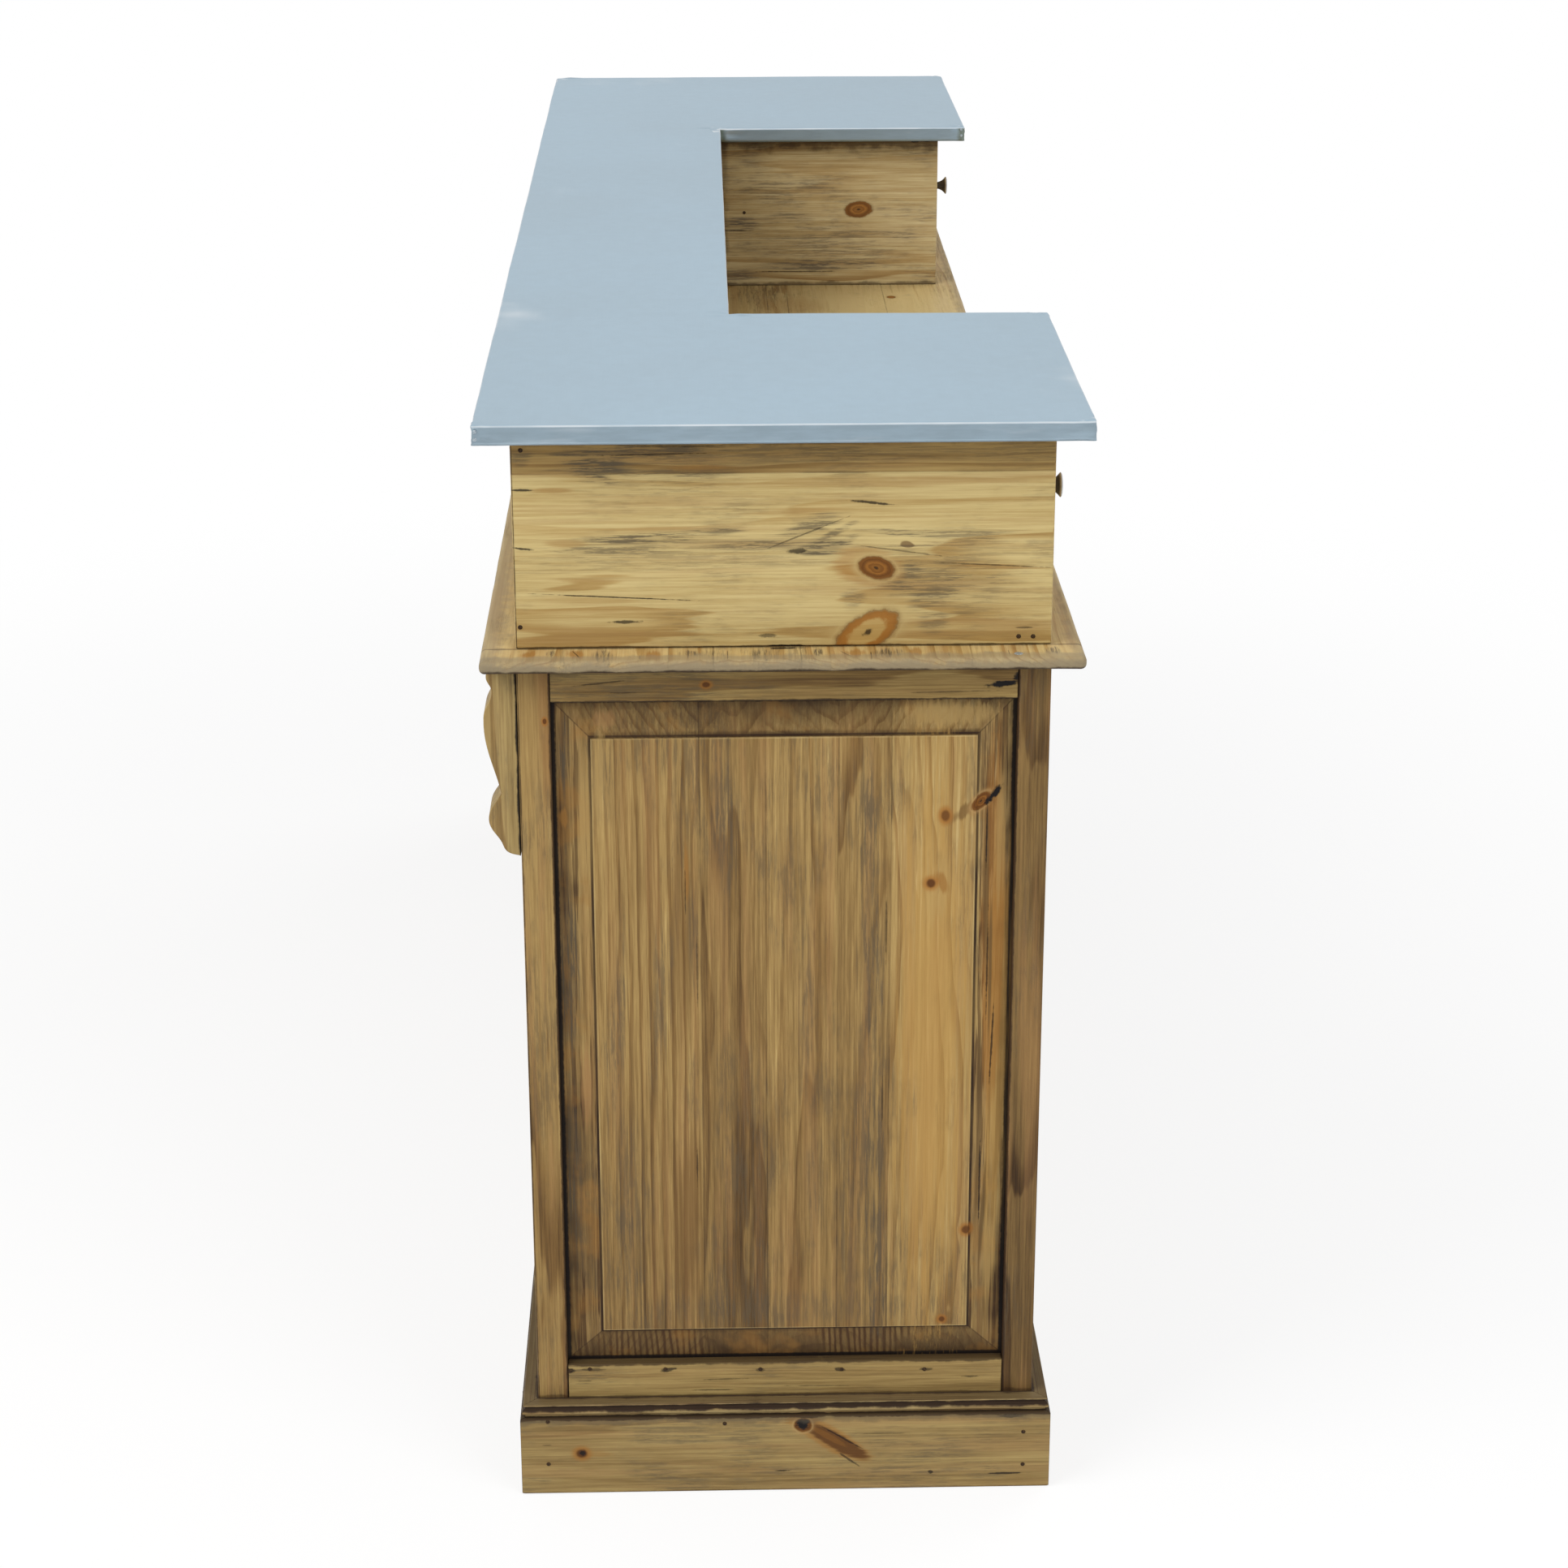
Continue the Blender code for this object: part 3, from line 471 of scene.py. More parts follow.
def add_panel_patina_shade_and_highlight(wood, colour, along, across, field, wobble, ripple):
    """Dark wax on a raised panel's bevels, painted shade in its step, painted shadow with dark patina in
    the groove round it, and a painted highlight on the field's arris.
    """
    low, high = field
    middle_a = (low[AXES.index(along)] + high[AXES.index(along)]) / 2
    outs = []
    for axis, place in ((along, wood.along), (across, wood.across)):
        at = AXES.index(axis)
        outs.append(abs(place - (low[at] + high[at]) / 2) - (high[at] - low[at]) / 2)
    end, side = outs
    out = end.larger(side)
    bevel = out.rise(0.0, 0.0010)
    is_end = (end - side).rise(-0.0004, 0.0004) * bevel

    cloud = wood.noise(wood.place, 13.0, 2.0, 0.55)
    grime_shade_mask = cloud.rise(0.40, 0.60)
    reach = out.rise(-0.004, 0.038)
    strokes = (wood.across * 165.0 + wood.along * 9.0 + ripple * 1.6 + wobble * 0.2).part()
    strokes = (strokes.rise(0.30, 0.62) - strokes.rise(0.72, 1.0)) * cloud.fall(0.42, 0.66)
    lines = wood.streaks(250.0, 40.0, 3.0, 0.6).rise(0.53, 0.58)
    lower = wood.along.fall(middle_a - 0.1, middle_a + 0.1)
    low_end = is_end * lower
    colour = wood.mix(is_end * 0.34 + low_end * 0.26, colour, WALNUT)
    colour = wood.mix((bevel - is_end) * lines * (grime_shade_mask * 0.30 + 0.60), colour, UMBER)
    colour = wood.mix(is_end * strokes * (lower * 0.75 + 0.15), colour, UMBER)
    colour = wood.mix(bevel * (grime_shade_mask * 0.65 + 0.25) * (reach * 0.85 + 0.04), colour, PATINA_AND_SHADE)
    rust = wood.noise(wood.place, 21.0, 3.0, 0.6).rise(0.50, 0.66, 0.40)
    colour = wood.mix(bevel * rust, colour, AMBER)

    mitre = abs(end - side).fall(0.0003, 0.0013, 0.5) * out.rise(0.0005, 0.002)
    colour = wood.mix(mitre, colour, PATINA_AND_SHADE)
    # Near black along the bevel's outer edge: painted shadow in the groove, with dark patina
    colour = wood.mix((out + wobble * 0.0022).rise(0.0312, 0.0332, 0.95), colour, PITCH)
    # A dark line along the field's step: painted shade in the step, with patina
    step = abs(out - 0.0008).fall(0.0006, 0.0018) * (grime_shade_mask * 0.20 + 0.78)
    colour = wood.mix(step, colour, PATINA_AND_SHADE)
    # Darker just outside the field on the end bevels, most at the top: painted shade along the step, with
    # dark wax
    wax = (out + wobble * 0.004).fall(0.0028, 0.0062) * is_end * (0.80 - lower * 0.45)
    colour = wood.mix(wax * (grime_shade_mask * 0.45 + 0.40), colour, PATINA_AND_SHADE)
    # A light line on the field's arris: painted highlight
    arris = abs(out + 0.0011).fall(0.0003, 0.0010)
    return wood.mix(arris * (grime_shade_mask * 0.25 + 0.15), colour, STRAW)


def zinc_finish():
    """Zinc sheet: a pale blue grey top, a bright bend that is a painted highlight, and a duller, rubbed
    skirt.
    """
    zinc = Finish("zinc")
    cloud = zinc.noise(zinc.place, 2.4, 4.0, 0.55)
    fine = zinc.noise(zinc.place, 60.0, 3.0, 0.6)
    drawn = zinc.noise(zinc.vector(zinc.x * 14.0, zinc.y * 600.0, zinc.z * 600.0), 1.0, 2.0)
    colour = zinc.mix(cloud.rise(0.25, 0.75), ZINC_DARK, ZINC_LIGHT)
    colour = zinc.brighten(colour, 0.955 + fine * 0.09)
    skirt = 1.0 - zinc.z.rise(1.0972, 1.0990)
    run = zinc.noise(zinc.vector(zinc.x * 24.0, zinc.y * 24.0, zinc.z * 150.0), 1.0, 3.0, 0.6)
    rub = zinc.noise(zinc.vector(zinc.x * 9.0, zinc.y * 9.0, zinc.z * 40.0), 1.0, 3.0, 0.6)
    colour = zinc.mix(skirt * (0.56 + run.rise(0.35, 0.65) * 0.14), colour, ZINC_SKIRT)
    colour = zinc.mix(skirt * rub.rise(0.52, 0.76) * 0.28, colour, ZINC_RUB_AND_HIGHLIGHT)
    # The bright line along the bend: painted highlight
    bend = zinc.z.rise(1.0975, 1.0985) - zinc.z.rise(1.0992, 1.0998)
    colour = zinc.mix(bend * (0.55 + rub.rise(0.40, 0.60) * 0.40), colour, ZINC_RUB_AND_HIGHLIGHT)
    for corner_y in (BAR_INNER_Y, WING_END_Y):
        for corner_x in (-RECESS_X, RECESS_X):
            x = zinc.x - corner_x
            y = zinc.y - corner_y
            away = (x * x + y * y).root() + (run - 0.5) * 0.008
            colour = zinc.mix(skirt * away.fall(0.003, 0.010, 0.8), colour, SOLDER)
    rough = 0.36 + cloud * 0.10 + (drawn - 0.5) * 0.05 + skirt * 0.02 - bend * 0.10
    height = fine * 0.35 + drawn * 0.10 + skirt * (run + rub) * 0.5
    zinc.shader.inputs["Metallic"].default_value = 0.85
    return zinc.wear(Base_Color=colour, Roughness=rough, Normal=zinc.bump(height, 0.0004, 0.30))


def iron_finish(name, middle, rim):
    """Dark iron, rubbed bright at the rim of a knob round middle (x, z)."""
    iron = Finish(name)
    x = iron.x - middle[0]
    z = iron.z - middle[1]
    out = (x * x + z * z).root()
    grain = iron.noise(iron.place, 900.0, 3.0, 0.6)
    rubbed = (out + (grain - 0.5) * 0.002).rise(rim * 0.80, rim * 0.98)
    colour = iron.mix(rubbed * 0.9, IRON, IRON_WORN)
    iron.shader.inputs["Metallic"].default_value = 0.9
    return iron.wear(
        Base_Color=colour,
        Roughness=0.46 - rubbed * 0.16 + (grain - 0.5) * 0.2,
        Normal=iron.bump(grain, 0.0002, 0.5),
    )


def rusty_finish():
    """Old nail heads, dark with rust and wax."""
    rust = Finish("rusty_nail")
    grain = rust.noise(rust.place, 900.0, 3.0, 0.6)
    colour = rust.mix(grain.rise(0.45, 0.75), NAIL_RUST, WALNUT)
    rust.shader.inputs["Specular IOR Level"].default_value = WAX_MIRROR
    return rust.wear(Base_Color=colour, Roughness=0.55 + grain * 0.3, Normal=rust.bump(grain, 0.0002, 0.5))


def tin_finish():
    """The dull heads of the zinc's nails, and the plug's lead."""
    tin = Finish("zinc_nail")
    grain = tin.noise(tin.place, 700.0, 3.0, 0.6)
    colour = tin.mix(grain.rise(0.35, 0.65), ZINC_SKIRT, TIN)
    tin.shader.inputs["Metallic"].default_value = 0.6
    return tin.wear(Base_Color=colour, Roughness=0.36 + grain * 0.2, Normal=tin.bump(grain, 0.0002, 0.5))


def add_piece(name, bm, material, body, nodes=(), sharp=35.0):
    """Turn a bmesh into a piece that rides on a body and may stand for CAD nodes."""
    for face in bm.faces:
        face.smooth = True
    for edge in bm.edges:
        edge.smooth = edge.calc_face_angle(0.0) < math.radians(sharp)
    mesh = bpy.data.meshes.new(name)
    bm.to_mesh(mesh)
    bm.free()
    mesh.materials.append(material)
    piece = bpy.data.objects.new(name, mesh)
    bpy.context.scene.collection.objects.link(piece)
    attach(piece, body)
    if nodes:
        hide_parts(*nodes)
    return piece


def box_mesh(low, high):
    """A plain box between two corners."""
    bm = bmesh.new()
    bmesh.ops.create_cube(bm, size=1.0)
    bmesh.ops.scale(bm, vec=high - low, verts=bm.verts)
    move(bm, (low + high) / 2)
    return bm


def move(bm, by):
    """Move a whole mesh."""
    bmesh.ops.translate(bm, vec=by, verts=bm.verts)


def close_seams(bm, gap):
    """Weld the vertices that lie closer than gap, and turn all faces outwards."""
    bmesh.ops.remove_doubles(bm, verts=bm.verts, dist=gap)
    bmesh.ops.recalc_face_normals(bm, faces=bm.faces)


def round_over(bm, edges, radius, steps):
    """Round edges off, in steps."""
    bmesh.ops.bevel(
        bm,
        geom=edges,
        offset=radius,
        affect="EDGES",
        segments=steps,
        profile=0.5,
        material=-1,
    )


def grid_cuts(bm, axis, low, high, step):
    """Cut a mesh across an axis at even steps, so that it can be dented."""
    normal = Vector([1.0 if name == axis else 0.0 for name in AXES])
    count = round((high - low) / step)
    for number in range(1, count):
        bmesh.ops.bisect_plane(
            bm,
            geom=list(bm.verts) + list(bm.edges) + list(bm.faces),
            plane_co=normal * (low + (high - low) * number / count),
            plane_no=normal,
        )


def dent(bm, size, depth, seed, verts=None):
    """Push a surface in and out by soft noise: size is a dent's width in metres."""
    bm.normal_update()
    moves = []
    for vert in bm.verts if verts is None else verts:
        away = noise.noise(vert.co / size + Vector((seed, seed * 0.37, 0.0)))
        moves.append((vert, vert.normal * away * depth))
    for vert, by in moves:
        vert.co += by


def make_zinc_sheet(material):
    """One sheet in a U, folded down all round, a little dented and crumpled at its corners."""
    low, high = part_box("zinc_top")
    outline = (
        (low.x, low.y), (high.x, low.y), (high.x, high.y), (RECESS_X, high.y),
        (RECESS_X, BAR_INNER_Y), (-RECESS_X, BAR_INNER_Y), (-RECESS_X, high.y), (low.x, high.y),
    )
    bm = bmesh.new()
    bm.faces.new([bm.verts.new((x, y, high.z)) for x, y in outline])
    down = bmesh.ops.extrude_edge_only(bm, edges=list(bm.edges))
    lower = [item for item in down["geom"] if isinstance(item, bmesh.types.BMVert)]
    bmesh.ops.translate(bm, vec=(0.0, 0.0, low.z - high.z), verts=lower)
    bmesh.ops.recalc_face_normals(bm, faces=bm.faces)
    if max(bm.faces, key=lambda face: face.calc_area()).normal.z < 0:
        bmesh.ops.reverse_faces(bm, faces=bm.faces)
    inner = []
    for x in (RECESS_X, -RECESS_X):
        corner = Vector((x, BAR_INNER_Y))
        inner += [e for e in bm.edges if upright(e) and (e.verts[0].co.xy - corner).length < 0.01]
    folds = [e for e in bm.edges if len(e.link_faces) == 2 and e not in inner]
    round_over(bm, folds, 0.0022, 5)
    grid_cuts(bm, "x", low.x, high.x, 0.02)
    grid_cuts(bm, "y", low.y, high.y, 0.02)
    grid_cuts(bm, "z", low.z, high.z, 0.003)
    crumpled = (("x", high.x), ("x", -RECESS_X), ("x", RECESS_X), ("y", high.y), ("y", BAR_INNER_Y))
    for axis, edge in crumpled:
        grid_cuts(bm, axis, edge - 0.015, edge + 0.015, 0.003)
    for axis, edge in (("x", low.x), ("y", low.y)):
        grid_cuts(bm, axis, edge, edge + 0.015, 0.003)
    dent(bm, 0.22, 0.0005, 3.0)
    dent(bm, 0.03, 0.00022, 9.0)
    for x, y in outline:
        corner = Vector((x, y, (low.z + high.z) / 2))
        near = [vert for vert in bm.verts if (vert.co - corner).length < 0.022]
        dent(bm, 0.0065, 0.0013, x + y * 3.0, near)
    sheet = add_piece("zinc_sheet", bm, material, "counter", ["zinc_top"], 50.0)
    shell = sheet.modifiers.new("thickness", "SOLIDIFY")
    shell.thickness = 0.0008
    shell.offset = -1.0


def upright(edge):
    """True for an edge that stands straight up."""
    a, b = edge.verts
    return (a.co.xy - b.co.xy).length < 1e-5


def make_work_board(material):
    """The work board, nosed all round and worn along its edge."""
    low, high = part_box("work_board")
    bm = box_mesh(low, high)
    round_over(bm, [edge for edge in bm.edges if upright(edge)], 0.005, 5)
    round_over(bm, [edge for edge in bm.edges if not upright(edge)], 0.005, 6)
    grid_cuts(bm, "x", low.x, high.x, 0.025)
    grid_cuts(bm, "y", low.y, high.y, 0.025)
    dent(bm, 0.035, 0.00035, 5.0)
    add_piece("nosed_work_board", bm, material, "counter", ["work_board"])


def make_panel(node, face, material):
    """A raised and fielded panel: tongue, long bevel, a step and the field, arrises eased."""
    low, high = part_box(node)
    size, middle = high - low, (low + high) / 2
    width = size.y if face in ("x+", "x-") else size.x
    tongue, lap = 0.007, 0.008
    bm = bmesh.new()
    bmesh.ops.create_cube(bm, size=1.0)
    bmesh.ops.scale(bm, vec=(width, size.z, tongue), verts=bm.verts)
    front = [f for f in bm.faces if f.normal.z > 0.9]
    for margin, rise in ((lap, 0.0), (0.036, 0.0065), (0.0006, 0.0025)):
        bmesh.ops.inset_region(
            bm, faces=front, thickness=margin, depth=rise, use_even_offset=True
        )
    round_over(bm, list(front[0].edges), 0.0007, 3)
    turn = {"x+": 90, "x-": -90, "y-": 0}[face]
    stand = Matrix.Rotation(math.radians(turn), 4, "Z") @ Matrix.Rotation(math.radians(90), 4, "X")
    bmesh.ops.transform(bm, matrix=stand, verts=bm.verts)
    grid_cuts(bm, "z", -size.z / 2, size.z / 2, 0.03)
    grid_cuts(bm, "y" if face != "y-" else "x", -width / 2, width / 2, 0.02)
    dent(bm, 0.06, 0.0002, middle.x)
    spread = [[min(v.co[i] for v in bm.verts), max(v.co[i] for v in bm.verts)] for i in range(3)]
    here = Vector([(a + b) / 2 for a, b in spread])
    move(bm, middle - here)
    add_piece(node.replace("panel", "fielded_panel"), bm, material, "counter", [node])


def make_corbel(node, material):
    """A scroll corbel, sawn from the flat with its arrises rubbed round."""
    low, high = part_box(node)
    reach, height, round_by = 0.031, 0.188, 0.0012
    outline = (
        (0.01, 0.002, True), (0.80, 0.002, True), (0.89, 0.065, False), (0.74, 0.132, False),
        (1.0, 0.27, False), (0.54, 0.667, True), (0.94, 0.805, False), (0.58, 0.925, True),
        (0.42, 0.975, False), (0.01, 1.0, True),
    )
    curve = bpy.data.curves.new(node, "CURVE")
    curve.dimensions = "2D"
    curve.fill_mode = "BOTH"
    curve.resolution_u = 12
    curve.extrude = (high.x - low.x) / 2 - round_by
    curve.bevel_depth = round_by
    curve.bevel_resolution = 2
    curve.offset = -round_by
    spline = curve.splines.new("BEZIER")
    spline.use_cyclic_u = True
    spline.bezier_points.add(len(outline) - 1)
    for point, (out, drop, sharp) in zip(spline.bezier_points, outline):
        point.co = (out * reach, -drop * height, 0.0)
        point.handle_left_type = "VECTOR" if sharp else "AUTO"
        point.handle_right_type = "VECTOR" if sharp else "AUTO"
    carver = bpy.data.objects.new(node + "_outline", curve)
    bpy.context.scene.collection.objects.link(carver)
    bpy.context.view_layer.update()
    mesh = bpy.data.meshes.new_from_object(carver)
    bpy.data.objects.remove(carver)
    bm = bmesh.new()
    bm.from_mesh(mesh)
    bpy.data.meshes.remove(mesh)
    close_seams(bm, 0.00002)
    stand = Matrix.Rotation(math.radians(-90), 4, "Z") @ Matrix.Rotation(math.radians(90), 4, "X")
    bmesh.ops.transform(bm, matrix=stand, verts=bm.verts)
    move(bm, ((low.x + high.x) / 2, high.y, high.z))
    add_piece(node.replace("corbel", "scroll_corbel"), bm, material, "counter", [node])


def make_knob(node, body, material):
    """A turned trumpet knob with a rolled rim, a dished face and a washer at its foot."""
    low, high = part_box(node)
    middle = (low + high) / 2
    face = high.y
    foot = face - 0.026
    head = (high.x - low.x) / 2
    profile = (
        (0.0, face - 0.0011), (0.0050, face - 0.0009), (0.0088, face - 0.0002), (0.0100, face),
        (0.0112, face - 0.0004), (head, face - 0.0013), (0.0114, face - 0.0022),
        (0.0096, face - 0.0036), (0.0072, face - 0.0062), (0.0053, face - 0.0100),
        (0.0042, face - 0.0150), (0.0038, face - 0.0200), (0.0041, foot + 0.0032),
        (0.0057, foot + 0.0021), (0.0057, foot + 0.0004), (0.0030, foot + 0.0003),
        (0.0030, low.y), (0.0, low.y),
    )
    bm = bmesh.new()
    verts = [bm.verts.new((radius, y, 0.0)) for radius, y in profile]
    edges = [bm.edges.new(pair) for pair in zip(verts, verts[1:])]
    bmesh.ops.spin(
        bm,
        geom=verts + edges,
        cent=(0.0, 0.0, 0.0),
        axis=(0.0, 1.0, 0.0),
        angle=math.tau,
        steps=48,
        use_merge=True,
    )
    close_seams(bm, 0.00001)
    move(bm, (middle.x, 0.0, middle.z))
    add_piece(node.replace("knob", "trumpet_knob"), bm, material, body, [node], 50.0)


def make_nails(name, places, face, head, material):
    """Small domed heads at places on a surface, which looks the way of face."""
    radius, rise = head
    bm = bmesh.new()
    look = Vector(face).to_track_quat("Z", "Y").to_matrix().to_4x4()
    flat = Matrix.Diagonal((1.0, 1.0, rise / radius, 1.0))
    for place in places:
        bmesh.ops.create_uvsphere(
            bm,
            u_segments=14,
            v_segments=8,
            radius=radius,
            matrix=Matrix.Translation(place) @ look @ flat,
        )
    add_piece(name, bm, material, "counter", (), 60.0)


def fasten():
    """Nails and pins where the photograph shows them, and their like on the hidden sides."""
    steel = rusty_finish()
    tin = tin_finish()
    end_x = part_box("post_front_right")[1].x
    tier_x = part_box("tier_end_board_right")[1].x
    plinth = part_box("plinth_right_end")[1].x
    front_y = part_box("plinth_front")[0].y
    rail_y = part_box("front_bottom_rail")[0].y
    tier_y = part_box("tier_front_board")[0].y
    wall_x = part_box("tier_wall_left")[1].x
    # The near end's nails as the photograph shows them, (y, z) each
    rail = (
        (-0.2137, 0.1300), (-0.1940, 0.1315), (-0.1191, 0.1303), (-0.0247, 0.1287),
        (0.0560, 0.1274), (0.1385, 0.1261),
    )
    base = ((0.2371, 0.0636), (0.2372, 0.0262), (-0.2364, 0.0828), (-0.2368, 0.0344), (-0.0608, 0.0780))
    upper = ((-0.2364, 1.0686), (-0.2413, 0.9021), (0.2156, 0.8891), (0.2290, 0.8890))
    for side, end in ((1.0, "near"), (-1.0, "far")):
        places = [(side * end_x, y, z) for y, z in rail]
        places += [(side * plinth, y, z) for y, z in base]
        places += [(side * tier_x, y, z) for y, z in upper]
        if side > 0:
            places.append((wall_x, -0.0134, 0.9804))
        face = (side, 0.0, 0.0)
        make_nails(end + "_end_nails", places, face, NAIL, steel)
    along = [x / 1000 for x in range(-930, 940, 155)]
    places = [(x, rail_y, 0.1290) for x in along]
    places += [(x, front_y, 0.0780 - 0.012 * (number % 2)) for number, x in enumerate(along[::2])]
    places += [(x, tier_y, z) for x in (-0.955, 0.955) for z in (0.902, 1.068)]
    make_nails("front_nails", places, (0.0, -1.0, 0.0), NAIL, steel)
    zinc_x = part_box("zinc_top")[1].x
    near = [(zinc_x, -0.2746, 1.0943), (zinc_x, -0.2746, 1.0872)]
    far = [(-RECESS_X, 0.2738, 1.0965), (-RECESS_X, 0.2738, 1.0888)]
    make_nails("zinc_nails", near + far, (1.0, 0.0, 0.0), ZINC_NAIL, tin)
    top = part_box("work_board")[1].z
    make_nails("plug", [(0.9935, 0.2135, top)], (0.0, 0.0, 1.0), PLUG, tin)


def ease_board(node, material):
    """A board like its CAD node, with its arrises rubbed off."""
    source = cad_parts[node]
    bm = bmesh.new()
    bm.from_mesh(source.data)
    bm.transform(source.matrix_world)
    close_seams(bm, 0.00001)
    bmesh.ops.dissolve_limit(bm, angle_limit=0.01, verts=bm.verts, edges=bm.edges)
    arrises = []
    for edge in bm.edges:
        turn = math.degrees(edge.calc_face_angle(0.0))
        if edge.is_convex and 60.0 < turn < 100.0 and edge.calc_length() > 0.006:
            arrises.append(edge)
    round_over(bm, arrises, ARRIS, 2)
    body = "counter"
    if "drawer" in node:
        body = node.split("_drawer")[0] + "_drawer"
    add_piece("eased_" + node, bm, material, body, [node], 10.0)


def dress(node, material):
    """Give a CAD node its finish."""
    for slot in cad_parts[node].material_slots:
        slot.material = material


def make_stage():
    """A pale floor that is nearly white to the camera and keeps the counter's shadow."""
    bpy.ops.mesh.primitive_plane_add(size=60.0)
    floor = bpy.context.object
    floor.name = "floor"
    pale = Finish("pale_floor")
    pale.feed(pale.shader.inputs["Base Color"], (0.92, 0.92, 0.92))
    pale.feed(pale.shader.inputs["Roughness"], 0.9)
    pale.feed(pale.shader.inputs["Specular IOR Level"], 0.1)
    seen = pale.node("ShaderNodeLightPath", {}, (), "Is Camera Ray")
    white = pale.node("ShaderNodeEmission", {}, {"Color": (1.0, 1.0, 1.0), "Strength": 1.0})
    shader = Value(pale, pale.shader.outputs[0])
    far = (pale.x * pale.x + pale.y * pale.y).root().rise(1.2, 2.8, 0.20) + 0.80
    both = pale.node("ShaderNodeMixShader", {}, (seen * far, shader, white))
    out = next(n for n in pale.tree.nodes if n.type == "OUTPUT_MATERIAL")
    pale.feed(out.inputs["Surface"], both)
    floor.data.materials.append(pale.material)


def make_light():
    """Soft studio light: a world and three large lamps, which the zinc doesn't mirror.

    The world is brighter to the camera and in mirrors than as a light. That brighter part
    keeps its node's own light grey, which the zinc's colours were matched to.
    """
    world = bpy.data.worlds.new("studio")
    bpy.context.scene.world = world
    world.use_nodes = True
    tree = world.node_tree
    back = tree.nodes["Background"]
    back.inputs["Color"].default_value = (1.0, 1.0, 1.0, 1.0)
    back.inputs["Strength"].default_value = 0.50
    seen_back = tree.nodes.new("ShaderNodeBackground")
    seen_back.inputs["Strength"].default_value = 1.0
    path = tree.nodes.new("ShaderNodeLightPath")
    seen = path.outputs["Is Camera Ray"]
    for kind in ("Is Glossy Ray", "Is Transmission Ray"):
        either = tree.nodes.new("ShaderNodeMath")
        either.operation = "MAXIMUM"
        tree.links.new(seen, either.inputs[0])
        tree.links.new(path.outputs[kind], either.inputs[1])
        seen = either.outputs[0]
    mix = tree.nodes.new("ShaderNodeMixShader")
    tree.links.new(seen, mix.inputs[0])
    tree.links.new(back.outputs[0], mix.inputs[1])
    tree.links.new(seen_back.outputs[0], mix.inputs[2])
    tree.links.new(mix.outputs[0], tree.nodes["World Output"].inputs["Surface"])
    for name, place, power in (
        ("key", (2.2, -2.6, 3.6), 120.0),
        ("fill", (3.4, 2.4, 3.0), 70.0),
        ("back", (-2.8, 3.2, 3.0), 60.0),
    ):
        lamp = bpy.data.lights.new(name, "AREA")
        lamp.size = 2.6
        lamp.energy = power
        obj = bpy.data.objects.new(name, lamp)
        bpy.context.scene.collection.objects.link(obj)
        obj.location = place
        obj.visible_glossy = False
        aim = Vector((0.4, 0.0, 0.7)) - Vector(place)
        obj.rotation_euler = aim.to_track_quat("-Z", "Y").to_euler()


def make_camera():
    """The camera that was fitted to the photograph's corners."""
    camera = bpy.data.cameras.new("camera")
    camera.lens = 76.99
    camera.sensor_width = 36.0
    camera.clip_start = 0.05
    camera.clip_end = 100.0
    obj = bpy.data.objects.new("camera", camera)
    bpy.context.scene.collection.objects.link(obj)
    right = Vector((0.02552, 0.99967, -0.00140))
    up = Vector((-0.35100, 0.01028, 0.93632))
    back = Vector((0.93603, -0.02341, 0.35115))
    turn = Matrix((right, up, back)).transposed().to_4x4()
    obj.matrix_world = Matrix.Translation((3.8943, -0.0734, 1.8443)) @ turn
    bpy.context.scene.camera = obj


